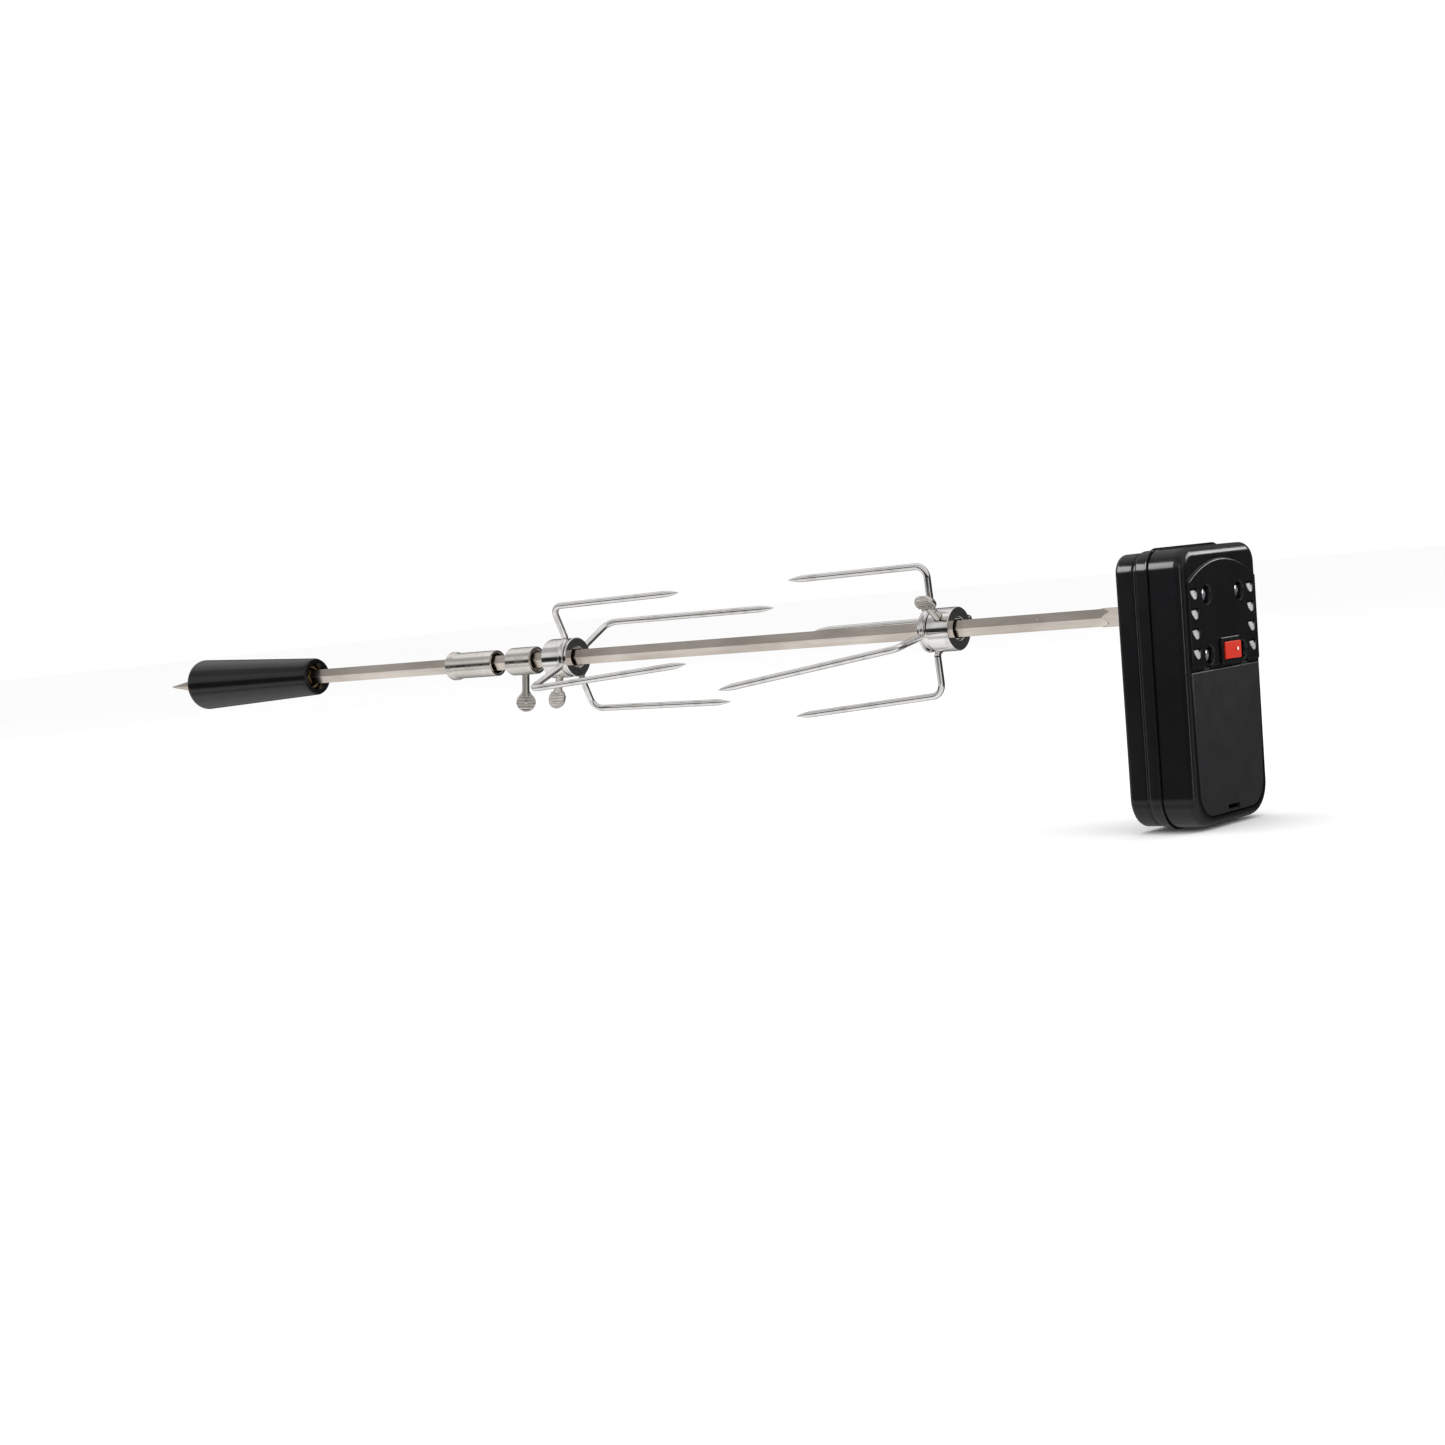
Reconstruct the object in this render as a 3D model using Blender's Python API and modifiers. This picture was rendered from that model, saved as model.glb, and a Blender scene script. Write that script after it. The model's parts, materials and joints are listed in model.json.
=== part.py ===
"""Rotisserie spit roaster: motor housing, geared drive, hexagonal spit, forks, collar and handle.

Metres, +Z up. The origin is on the housing's flat rear face, under the spit, where a grill's motor
bracket holds it. The spit runs along -X from the rear face. Pieces are drawn round the spit's axis
and hung on empties that stand on the axis each of them turns or slides on.
"""

from math import asin, atan2, cos, pi, radians, sin, sqrt

import bmesh
import bpy
from mathutils import Matrix, Vector

MM = 0.001
GAP = 0.3 * MM

# Frame: the spit's axis above the origin
SPIT_Z = 60 * MM

# Housing, measured from the spit's axis
HOUSING_WIDTH = 84.5 * MM
HOUSING_TOP = 34.2 * MM
HOUSING_BOTTOM = -113.8 * MM
HOUSING_DEPTH = 41 * MM
TOP_RADIUS = 11 * MM
BOTTOM_RADIUS = 18 * MM
SPLIT_X = 21 * MM
STEP_X = 12 * MM
STEP_IN = 0.9 * MM
RIM_OUT = 1.2 * MM
RIM_LENGTH = 1.3 * MM
WALL = 2.2 * MM
EDGE_RADIUS = 4 * MM
SPIT_HOLE = 9.8 * MM

# Front panel: raised arch, screw holes, drop-shaped recesses
PANEL_RISE = 1 * MM
PANEL_X = HOUSING_DEPTH + PANEL_RISE
PANEL_HALF = 38 * MM
PANEL_BOTTOM = -29 * MM
PANEL_SHOULDER = 16 * MM
PANEL_CROWN = 27 * MM
SCREW_Y = 18.5 * MM
SCREW_Z = (8.8 * MM, -23 * MM)
SCREW_WELL = 4.8 * MM
WELL_WALL = 0.8 * MM
WELL_FLOOR = 38 * MM
SHANK_HOLE = 1.8 * MM
BOSS_RADIUS = 3 * MM
PILOT_START = 10 * MM
SCREW_END = 13 * MM
SCREW_HEAD_RADIUS = 3.8 * MM
SCREW_CROWN_RADIUS = 3 * MM
SCREW_HEAD_TOP = WELL_FLOOR + 2.2 * MM
CROSS_LENGTH = 3.8 * MM
CROSS_WIDTH = 0.9 * MM
CROSS_FLOOR = WELL_FLOOR + 1.2 * MM
DROP_Y = 31.5 * MM
DROP_TOP_Z = 12.8 * MM
DROP_PITCH = 10.4 * MM
DROP_ROWS = 4
DROP_WIDTH = 10.6 * MM
DROP_HEIGHT = 5.8 * MM
DROP_DEPTH = 2.4 * MM
DROP_WALL = 0.2 * MM

# Battery door
DOOR_TOP = -30.8 * MM
DOOR_BOTTOM = -108.5 * MM
DOOR_HALF_TOP = 38.4 * MM
DOOR_HALF_LOW = 36.6 * MM
DOOR_CORNER = 15 * MM
DOOR_GAP = 0.4 * MM
DOOR_EDGE = 0.5 * MM
TAB_Y = 21.5 * MM
TAB_WIDTH = 6 * MM
TAB_HEIGHT = 1.8 * MM
LATCH_WIDTH = 13 * MM
LATCH_SLIT = 2.4 * MM
LATCH_Z = -105.5 * MM

# Rocker switch
SWITCH_Y = 2.5 * MM
SWITCH_Z = -22 * MM
SWITCH_BODY = (14.5 * MM, 19 * MM, 13 * MM)
SWITCH_BEZEL = (1.3 * MM, 20.4 * MM, 14.2 * MM)
SWITCH_CAVITY = (16.4 * MM, 10 * MM)
ROCKER_TILT = -8
ROCKER_DEPTH = 9.4 * MM
ROCKER_PIVOT_X = 39.5 * MM
ROCKER_SHAPE = ((-3.5, -3), (2, -6.4), (5.8, -7.2), (4.4, 0), (5.8, 7.2), (2, 6.4), (-3.5, 3))

# Gear train: teeth of module 0.9 mm, drawn just out of mesh
MODULE = 0.9 * MM
TOOTH_HEIGHT = 1.5 * MM
TIP_RELIEF = 0.2 * MM
SMALL_TEETH = 8
OUTPUT_TEETH = 36
PINION_TEETH = 7
GEAR_BIG_TEETH = (21, 19, 16, 16)
GEAR_ANGLES = (90, 0, -10, -65.4)
PINION_ANGLE = -90
LAYER_START = 7 * MM
LAYER_PITCH = 3.6 * MM
LAYER_THICK = 2.8 * MM
PIN_RADIUS = 1 * MM
PIN_START = 3 * MM
PIN_END = 26.9 * MM
PLATE_REAR_X = 4.2 * MM
PLATE_FRONT_X = 26 * MM
PLATE_THICK = 1 * MM
PLATE_Y = (-24 * MM, 37.8 * MM)
PLATE_Z = (-13.5 * MM, 25.6 * MM)
MOTOR_RADIUS = 9.5 * MM
MOTOR_LENGTH = 11 * MM
SHAFT_DEPTH = 5 * MM

# Drive socket and its bearing
SOCKET_RADIUS = 7 * MM
SOCKET_START = 1 * MM
SOCKET_END = 27 * MM
SOCKET_DEPTH = 22 * MM
SOCKET_SQUARE = 8 * MM
BUSH_FLANGE = 2.4 * MM
BUSH_FLANGE_THICK = 1.2 * MM

# Batteries (D cells) and contacts
CELL_RADIUS = 16.9 * MM
CELL_LENGTH = 60 * MM
CELL_NUB = 1.5 * MM
CELL_NUB_RADIUS = 4.5 * MM
CELL_Y = 17.6 * MM
CELL_X = 20.4 * MM
CELL_BASE = -100.7 * MM
PARTITION_Z = -32.2 * MM
PARTITION_THICK = 1.3 * MM
SPRING_TURNS = 4
SPRING_WIRE = 0.5 * MM
SPRING_TOP = -101.6 * MM
SPRING_BASE = -107 * MM
SPRING_RADII = (8 * MM, 4.5 * MM)
CONTACT_HALF = 9 * MM
CONTACT_Z = (SPRING_BASE - 1.3 * MM, SPRING_BASE - 0.9 * MM)
BLOCK_X = (5 * MM, 36 * MM)
BLOCK_HALF = 36 * MM
BLOCK_HEIGHT = 5.4 * MM
BRIDGE_X = (15 * MM, 26 * MM)
BRIDGE_HALF = 26 * MM
BRIDGE_THICK = 0.5 * MM

# Spit
HEX_FLATS = 9.525 * MM
TANG = 7.5 * MM
TANG_END = 20 * MM
HEX_START = -30.5 * MM
HEX_END = -790 * MM
SPIT_TIP = -820.6 * MM
SPIT_BORE = 6.6 * MM
SHOULDER_TAPER = 3 * MM

# Handle
HANDLE_FRONT = -664 * MM
HANDLE_BACK = -786 * MM
HANDLE_FRONT_RADIUS = 12.8 * MM
HANDLE_BACK_RADIUS = 17.8 * MM
HANDLE_END_ROUND = 4 * MM
HANDLE_RECESS = 8.4 * MM
HANDLE_RECESS_DEPTH = 9 * MM
HANDLE_BORE = 6.3 * MM
HANDLE_EDGE = 0.8 * MM
FERRULE_LENGTH = 3.2 * MM
FERRULE_EDGE = 0.4 * MM

# Sleeves on the spit
BUSHING_ENDS = (-531 * MM, -489.5 * MM)
BUSHING_FLANGE = 5 * MM
BUSHING_RADIUS = 8.5 * MM
BUSHING_FLANGE_RADIUS = 9.4 * MM
BUSHING_EDGE = 0.6 * MM
COLLAR_ENDS = (-475.7 * MM, -454.1 * MM)
COLLAR_RADIUS = 9 * MM
COLLAR_EDGE = 0.7 * MM
COLLAR_SCREW_ANGLE = 262
COLLAR_SCREW_TWIST = -40
COLLAR_SCREW_X = -464.6 * MM

# Forks
HUB_RADIUS = 12.6 * MM
HUB_LENGTH = 21 * MM
HUB_LIP = 1.5 * MM
HUB_EDGE = 0.8 * MM
GROOVE_WIDTH = 4.6 * MM
GROOVE_RADIUS = 10.4 * MM
HUB_SCREW_INSET = 7.4 * MM
WIRE_RADIUS = 2 * MM
WIRE_WRAP = GROOVE_RADIUS + GAP + WIRE_RADIUS
WIRE_FILLET = 3.2 * MM
WIRE_CORNER = 7 * MM
POINT_LENGTH = 13 * MM
POINT_SCALE = 0.16
LEFT_HUB_X = -439.7 * MM
LEFT_SCREW = (250.6, -4)
LEFT_PRONGS = (
    ((114.8, 37 * MM, 104.5 * MM, 1.5 * MM), (200.3, 47.4 * MM, 129 * MM, 9 * MM)),
    ((-65.8, 37.7 * MM, 113 * MM, -0.8 * MM), (27.5, 42.8 * MM, 136 * MM, 0.2 * MM)),
)
RIGHT_HUB_X = -126.1 * MM
RIGHT_SCREW = (143, 3)
RIGHT_PRONGS = (
    ((95.6, 37.5 * MM, 99 * MM, -1 * MM), (190.2, 42 * MM, 130 * MM, -17 * MM)),
    ((-84.1, 37.9 * MM, 107.5 * MM, -7.9 * MM), (6.2, 42.4 * MM, 116 * MM, -0.8 * MM)),
)

# Thumb screws
STEM_RADIUS = 2.4 * MM
STEM_START = 6 * MM
STEM_END = 22 * MM
PADDLE_AT = 27 * MM
PADDLE_RADIUS = 6.3 * MM
PADDLE_THICK = 2.6 * MM
RIBS = 4
RIB_PITCH = 2.3 * MM
RIB_PROUD = 0.5 * MM
RIB_HALF = 0.5 * MM
RIB_INSET = 0.8 * MM


# Scene and material helpers


def clear_scene():
    for obj in list(bpy.data.objects):
        bpy.data.objects.remove(obj, do_unlink=True)


def new_collection(name):
    found = bpy.data.collections.new(name)
    bpy.context.scene.collection.children.link(found)
    return found


def make_material(name, colour, roughness, metallic):
    made = bpy.data.materials.new(name)
    made.use_nodes = True
    shader = made.node_tree.nodes["Principled BSDF"]
    shader.inputs["Base Color"].default_value = (*colour, 1)
    shader.inputs["Roughness"].default_value = roughness
    shader.inputs["Metallic"].default_value = metallic
    return made


def make_materials():
    return {
        "black_plastic": make_material("black_plastic", (0.02, 0.02, 0.022), 0.32, 0),
        "door_plastic": make_material("door_plastic", (0.035, 0.036, 0.04), 0.45, 0),
        "gloss_black": make_material("gloss_black", (0.012, 0.012, 0.012), 0.18, 0),
        "red_plastic": make_material("red_plastic", (0.75, 0.04, 0.02), 0.35, 0),
        "steel": make_material("steel", (0.55, 0.52, 0.49), 0.32, 1),
        "chrome": make_material("chrome", (0.82, 0.81, 0.8), 0.12, 1),
        "screw_steel": make_material("screw_steel", (0.3, 0.3, 0.32), 0.3, 1),
        "brass": make_material("brass", (0.78, 0.56, 0.26), 0.3, 1),
        "gear_plastic": make_material("gear_plastic", (0.85, 0.84, 0.8), 0.5, 0),
        "cell_jacket": make_material("cell_jacket", (0.1, 0.12, 0.2), 0.4, 0),
    }


def add_empty(name, location, parent=None):
    made = bpy.data.objects.new(name, None)
    made.empty_display_size = 10 * MM
    made.location = location
    made.parent = parent
    PARTS.objects.link(made)
    return made


def add_mesh(name, bm, parent, home=None):
    """An object from a bmesh drawn round the parent's origin."""
    mesh = bpy.data.meshes.new(name)
    bmesh.ops.recalc_face_normals(bm, faces=bm.faces)
    bm.to_mesh(mesh)
    bm.free()
    made = bpy.data.objects.new(name, mesh)
    made.parent = parent
    (home or PARTS).objects.link(made)
    return made


def finish(obj, slot):
    obj.data.materials.clear()
    obj.data.materials.append(MATERIALS[slot])
    obj.data.shade_smooth()
    obj.data.set_sharp_from_angle(angle=radians(35))
    return obj


# Shape helpers


def cube_mesh(low, high):
    low, high = Vector(low), Vector(high)
    bm = bmesh.new()
    bmesh.ops.create_cube(bm, size=1)
    bmesh.ops.scale(bm, vec=high - low, verts=bm.verts)
    bmesh.ops.translate(bm, vec=(low + high) / 2, verts=bm.verts)
    return bm


def rod_mesh(start, end, radius, sides=20, end_radius=None):
    """A cylinder or cone between two points."""
    start, end = Vector(start), Vector(end)
    bm = bmesh.new()
    bmesh.ops.create_cone(
        bm,
        cap_ends=True,
        segments=sides,
        radius1=radius,
        radius2=radius if end_radius is None else end_radius,
        depth=(end - start).length,
    )
    aim = (end - start).to_track_quat("Z", "Y").to_matrix().to_4x4()
    place = Matrix.Translation((start + end) / 2) @ aim
    bmesh.ops.transform(bm, matrix=place, verts=bm.verts)
    return bm


def cutter(name, bm, parent):
    made = add_mesh(name, bm, parent, CUTTERS)
    made.display_type = "WIRE"
    made.hide_render = True
    return made


def combine(obj, other, operation):
    step = obj.modifiers.new(other.name, "BOOLEAN")
    step.operation = operation
    step.solver = "EXACT"
    step.object = other


def cut(obj, name, bm):
    combine(obj, cutter(name, bm, obj.parent), "DIFFERENCE")


def join(obj, name, bm):
    combine(obj, cutter(name, bm, obj.parent), "UNION")


def outline_mesh(points, start, end):
    """A prism along X from a closed outline of (y, z) points, drawn as a filled 2D curve."""
    curve = bpy.data.curves.new("outline", "CURVE")
    curve.dimensions = "2D"
    curve.fill_mode = "BOTH"
    curve.extrude = (end - start) / 2
    spline = curve.splines.new("POLY")
    spline.points.add(len(points) - 1)
    for point, (y, z) in zip(spline.points, points):
        point.co = (y, z, 0, 1)
    spline.use_cyclic_u = True
    obj = bpy.data.objects.new("outline", curve)
    CUTTERS.objects.link(obj)
    graph = bpy.context.evaluated_depsgraph_get()
    mesh = bpy.data.meshes.new_from_object(obj.evaluated_get(graph))
    bm = bmesh.new()
    bm.from_mesh(mesh)
    bmesh.ops.remove_doubles(bm, verts=bm.verts, dist=0.00001)
    to_x = Matrix(((0, 0, 1, (start + end) / 2), (1, 0, 0, 0), (0, 1, 0, 0), (0, 0, 0, 1)))
    bmesh.ops.transform(bm, matrix=to_x, verts=bm.verts)
    bpy.data.objects.remove(obj, do_unlink=True)
    bpy.data.meshes.remove(mesh)
    return bm


def round_rim(bm, x, radius, segments=3):
    """Rounds the edges that lie in the plane at x."""
    rim = [e for e in bm.edges if all(abs(v.co.x - x) < 1e-6 for v in e.verts)]
    rim = [e for e in rim if e.calc_face_angle(0) > radians(60)]
    bmesh.ops.bevel(bm, geom=rim, offset=radius, segments=segments, profile=0.5, affect="EDGES")
    return bm


def corner_arc(centre, radius, start, end, steps):
    angles = [start + (end - start) * i / steps for i in range(steps + 1)]
    return [(centre[0] + radius * cos(radians(a)), centre[1] + radius * sin(radians(a))) for a in angles]


def housing_outline(grow=0.0, steps=5):
    """The housing seen from the front: small top corners and larger bottom ones."""
    half = HOUSING_WIDTH / 2 + grow
    top, bottom = HOUSING_TOP + grow, HOUSING_BOTTOM - grow
    upper, lower = TOP_RADIUS + grow, BOTTOM_RADIUS + grow
    return (
        corner_arc((half - upper, top - upper), upper, 0, 90, steps)
        + corner_arc((-half + upper, top - upper), upper, 90, 180, steps)
        + corner_arc((-half + lower, bottom + lower), lower, 180, 270, steps)
        + corner_arc((half - lower, bottom + lower), lower, 270, 360, steps)
    )


def door_outline(grow=0.0, steps=6):
    """The door: square at its top, a little narrower and well rounded at its bottom."""
    lower = DOOR_CORNER + grow
    half, bottom = DOOR_HALF_LOW + grow, DOOR_BOTTOM - grow
    top_half = DOOR_HALF_TOP + grow
    return (
        [(top_half, DOOR_TOP + grow), (-top_half, DOOR_TOP + grow)]
        + corner_arc((-half + lower, bottom + lower), lower, 180, 270, steps)
        + corner_arc((half - lower, bottom + lower), lower, 270, 360, steps)
    )


def arch_outline(steps=10):
    """The raised panel: straight sides under a low arch, through its shoulders and crown."""
    rise = PANEL_CROWN - PANEL_SHOULDER
    radius = (PANEL_HALF**2 + rise**2) / (2 * rise)
    half_angle = atan2(PANEL_HALF, radius - rise) * 180 / pi
    arch = corner_arc((0, PANEL_CROWN - radius), radius, 90 - half_angle, 90 + half_angle, steps)
    return [(PANEL_HALF, PANEL_BOTTOM)] + arch + [(-PANEL_HALF, PANEL_BOTTOM)]


def drop_outline(y, top):
    """A recess with a flat top that narrows to a rounded point."""
    half = DROP_WIDTH / 2
    return [
        (y + half, top),
        (y - half, top),
        (y - half * 0.86, top - DROP_HEIGHT * 0.35),
        (y - half * 0.5, top - DROP_HEIGHT * 0.78),
        (y, top - DROP_HEIGHT),
        (y + half * 0.5, top - DROP_HEIGHT * 0.78),
        (y + half * 0.86, top - DROP_HEIGHT * 0.35),
    ]


def scoop_mesh(y, top):
    """A drop that is deepest along its flat top, with a floor that slopes out to its point."""
    bm = bmesh.new()
    for out in (PANEL_X - DROP_WALL, PANEL_X + MM):
        for across, height in drop_outline(y, top):
            bm.verts.new((out, across, height))
    for side in (-1, 1):
        bm.verts.new((PANEL_X - DROP_DEPTH, y + side * DROP_WIDTH * 0.36, top - 0.4 * MM))
    hull = bmesh.ops.convex_hull(bm, input=bm.verts)
    bmesh.ops.delete(bm, geom=hull["geom_interior"] + hull["geom_unused"], context="VERTS")
    return bm


def turned(name, profile, parent, slot, sides=24):
    """A ring turned about the X axis from (x, radius) points: out along the skin, back by the bore."""
    bm = bmesh.new()
    verts = [bm.verts.new((radius, 0, at)) for at, radius in profile]
    for first, second in zip(verts, verts[1:] + verts[:1]):
        bm.edges.new((first, second))
    mesh = bpy.data.meshes.new(name)
    bm.to_mesh(mesh)
    bm.free()
    made = bpy.data.objects.new(name, mesh)
    made.parent = parent
    made.rotation_euler.y = radians(90)
    PARTS.objects.link(made)
    screw = made.modifiers.new("turn", "SCREW")
    screw.axis = "Z"
    screw.steps = sides
    screw.render_steps = sides
    screw.use_merge_vertices = True
    screw.merge_threshold = 0.00001
    return finish(made, slot)


def tube_profile(start, end, outer, inner, chamfer=0.0):
    """A plain sleeve: the skin from its high end to its low end, then back along the bore."""
    if not chamfer:
        return [(end, outer), (start, outer), (start, inner), (end, inner)]
    return [
        (end, outer - chamfer),
        (end - chamfer, outer),
        (start + chamfer, outer),
        (start, outer - chamfer),
        (start, inner),
        (end, inner),
    ]


# Motor housing


def make_rear_shell(motor):
    band = outline_mesh(housing_outline(-STEP_IN), 0, STEP_X + GAP)
    shell = add_mesh("rear_shell", round_rim(band, 0, EDGE_RADIUS * 0.8), motor)
    back = SPLIT_X - GAP / 2
    join(shell, "rear_band", outline_mesh(housing_outline(), STEP_X, back))
    join(shell, "rear_rim", outline_mesh(housing_outline(RIM_OUT), back - RIM_LENGTH, back))
    cut(shell, "rear_hollow", outline_mesh(housing_outline(-WALL - STEP_IN), WALL, SPLIT_X + WALL))
    cut(shell, "rear_spit_hole", rod_mesh((-WALL, 0, 0), (2 * WALL, 0, 0), SPIT_HOLE, 32))
    for number, (y, z) in enumerate(screw_places()):
        boss = rod_mesh((WALL / 2, y, z), (back - MM, y, z), BOSS_RADIUS, 12)
        join(shell, f"rear_boss_{number}", boss)
        hole = rod_mesh((PILOT_START, y, z), (back, y, z), SHANK_HOLE, 12)
        cut(shell, f"rear_pilot_{number}", hole)
    return finish(shell, "black_plastic")


def screw_places():
    return [(side * SCREW_Y, z) for z in SCREW_Z for side in (-1, 1)]


def make_front_shell(motor):
    front = SPLIT_X + GAP / 2
    body = outline_mesh(housing_outline(), front, HOUSING_DEPTH)
    shell = add_mesh("front_shell", round_rim(body, HOUSING_DEPTH, EDGE_RADIUS), motor)
    panel = outline_mesh(arch_outline(), HOUSING_DEPTH - WALL / 2, PANEL_X)
    join(shell, "front_panel", round_rim(panel, PANEL_X, PANEL_RISE * 0.7, 2))
    hollow = outline_mesh(housing_outline(-WALL), front - WALL, HOUSING_DEPTH - WALL)
    cut(shell, "front_hollow", hollow)
    for number, (y, z) in enumerate(screw_places()):
        well = rod_mesh((WELL_FLOOR - WALL, y, z), (HOUSING_DEPTH, y, z), SCREW_WELL + WELL_WALL, 20)
        join(shell, f"front_well_{number}", well)
        bore = rod_mesh((WELL_FLOOR, y, z), (PANEL_X + MM, y, z), SCREW_WELL, 20)
        cut(shell, f"front_bore_{number}", bore)
        shank = rod_mesh((WELL_FLOOR - 2 * WALL, y, z), (WELL_FLOOR + MM, y, z), SHANK_HOLE, 12)
        cut(shell, f"front_shank_{number}", shank)
    for side in (-1, 1):
        for row in range(DROP_ROWS):
            top = DROP_TOP_Z - row * DROP_PITCH
            cut(shell, f"drop_{side}_{row}", scoop_mesh(side * DROP_Y, top))
    reach = (HOUSING_DEPTH - 2 * WALL, PANEL_X + WALL)
    cut(shell, "door_opening", outline_mesh(door_outline(DOOR_GAP), *reach))
    for side in (-1, 1):
        notch = tab_mesh(side, GAP, *reach)
        cut(shell, f"tab_notch_{side}", notch)
    _, width, height = SWITCH_BODY
    low = (reach[0], SWITCH_Y - width / 2 - GAP, SWITCH_Z - height / 2 - GAP)
    high = (reach[1], SWITCH_Y + width / 2 + GAP, SWITCH_Z + height / 2 + GAP)
    cut(shell, "switch_opening", cube_mesh(low, high))
    return finish(shell, "black_plastic")


def tab_mesh(side, grow, start, end):
    middle = side * TAB_Y
    low = (start, middle - TAB_WIDTH / 2 - grow, DOOR_TOP - MM)
    high = (end, middle + TAB_WIDTH / 2 + grow, DOOR_TOP + TAB_HEIGHT + grow * 2)
    return cube_mesh(low, high)


def make_battery_door(motor):
    """The pivot is the outer top edge, so the whole plate swings out and clears the shell."""
    hinge = add_empty("door_hinge_axis", (HOUSING_DEPTH, 0, DOOR_TOP), motor)
    inner = HOUSING_DEPTH - WALL
    bm = outline_mesh(door_outline(), inner, HOUSING_DEPTH)
    round_rim(bm, HOUSING_DEPTH, DOOR_EDGE, 2)
    door = add_mesh("battery_door", bm, motor)
    for side in (-1, 1):
        join(door, f"door_tab_{side}", tab_mesh(side, 0, inner, HOUSING_DEPTH))
    low = (inner - MM, -LATCH_WIDTH / 2, LATCH_Z - LATCH_SLIT / 2)
    high = (HOUSING_DEPTH + MM, LATCH_WIDTH / 2, LATCH_Z + LATCH_SLIT / 2)
    cut(door, "latch_slit", cube_mesh(low, high))
    hang_on(door, hinge)
    return finish(door, "door_plastic")


def hang_on(obj, pivot):
    """Moves an object drawn round its parent's origin on to a pivot, and leaves it in place."""
    obj.data.transform(Matrix.Translation(-pivot.location))
    obj.parent = pivot
    for step in obj.modifiers:
        step.object.data.transform(Matrix.Translation(-pivot.location))
        step.object.parent = pivot


def make_housing_screws(motor):
    for number, (y, z) in enumerate(screw_places(), 1):
        seat, top = (WELL_FLOOR + GAP, y, z), (SCREW_HEAD_TOP, y, z)
        head = rod_mesh(seat, top, SCREW_HEAD_RADIUS, 20, SCREW_CROWN_RADIUS)
        screw = add_mesh(f"housing_screw_{number}", head, motor)
        shank = rod_mesh((SCREW_END, y, z), (WELL_FLOOR + MM, y, z), SHANK_HOLE - GAP, 12)
        join(screw, f"shank_{number}", shank)
        arms = ((CROSS_LENGTH, CROSS_WIDTH), (CROSS_WIDTH, CROSS_LENGTH))
        for part, (wide, tall) in enumerate(arms):
            low = (CROSS_FLOOR, y - wide / 2, z - tall / 2)
            high = (SCREW_HEAD_TOP + MM, y + wide / 2, z + tall / 2)
            cut(screw, f"cross_{number}_{part}", cube_mesh(low, high))
        finish(screw, "screw_steel")


def make_switch(motor):
    depth, width, height = SWITCH_BODY
    rise, bezel_width, bezel_height = SWITCH_BEZEL
    seat = PANEL_X + GAP / 2
    centre = Vector((0, SWITCH_Y, SWITCH_Z))
    block = Vector((0, width / 2, height / 2))
    body = cube_mesh(centre - block + Vector((seat - depth, 0, 0)), centre + block + Vector((seat, 0, 0)))
    switch = add_mesh("switch_body", body, motor)
    edge = Vector((0, bezel_width / 2, bezel_height / 2))
    low = centre - edge + Vector((seat, 0, 0))
    high = centre + edge + Vector((seat + rise, 0, 0))
    join(switch, "switch_bezel", cube_mesh(low, high))
    hole = Vector((0, SWITCH_CAVITY[0] / 2, SWITCH_CAVITY[1] / 2))
    low = centre - hole + Vector((seat - depth + 2 * MM, 0, 0))
    high = centre + hole + Vector((seat + rise + MM, 0, 0))
    cut(switch, "switch_cavity", cube_mesh(low, high))
    finish(switch, "gloss_black")
    make_rocker(motor)


def make_rocker(motor):
    """A seesaw key on an upright pivot, with one half pressed in."""
    pivot = add_empty("rocker_axis", (ROCKER_PIVOT_X, SWITCH_Y, SWITCH_Z), motor)
    shape = [(x * MM, y * MM) for x, y in ROCKER_SHAPE]
    bm = outline_mesh(shape, -ROCKER_DEPTH / 2, ROCKER_DEPTH / 2)
    upright = Matrix(((0, 1, 0, 0), (0, 0, 1, 0), (1, 0, 0, 0), (0, 0, 0, 1)))
    tilt = Matrix.Rotation(radians(ROCKER_TILT), 4, "Z")
    bmesh.ops.transform(bm, matrix=tilt @ upright, verts=bm.verts)
    finish(add_mesh("switch_rocker", bm, pivot), "red_plastic")


# Drive train


def gear_radius(teeth):
    return MODULE * teeth / 2 - TIP_RELIEF


def gear_outline(teeth, centre=(0, 0)):
    """Square-shouldered teeth: tip and root lands joined by short flanks."""
    outer = gear_radius(teeth)
    inner = outer - TOOTH_HEIGHT
    points = []
    for tooth in range(teeth):
        for share, radius in ((-0.28, inner), (-0.14, outer), (0.14, outer), (0.28, inner)):
            a = 2 * pi * (tooth + share) / teeth
            points.append((centre[0] + radius * cos(a), centre[1] + radius * sin(a)))
    return points


def layer(number):
    start = LAYER_START + LAYER_PITCH * number
    return start, start + LAYER_THICK


def gear_places():
    """Each gear shaft stands one centre distance on from the last, from the socket outwards."""
    at = Vector((0, 0))
    driven = OUTPUT_TEETH
    places = []
    for angle, big in zip(GEAR_ANGLES, GEAR_BIG_TEETH):
        reach = MODULE * (driven + SMALL_TEETH) / 2
        at = at + reach * Vector((cos(radians(angle)), sin(radians(angle))))
        places.append(at)
        driven = big
    reach = MODULE * (driven + PINION_TEETH) / 2
    motor_at = at + reach * Vector((cos(radians(PINION_ANGLE)), sin(radians(PINION_ANGLE))))
    return places, motor_at


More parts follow.
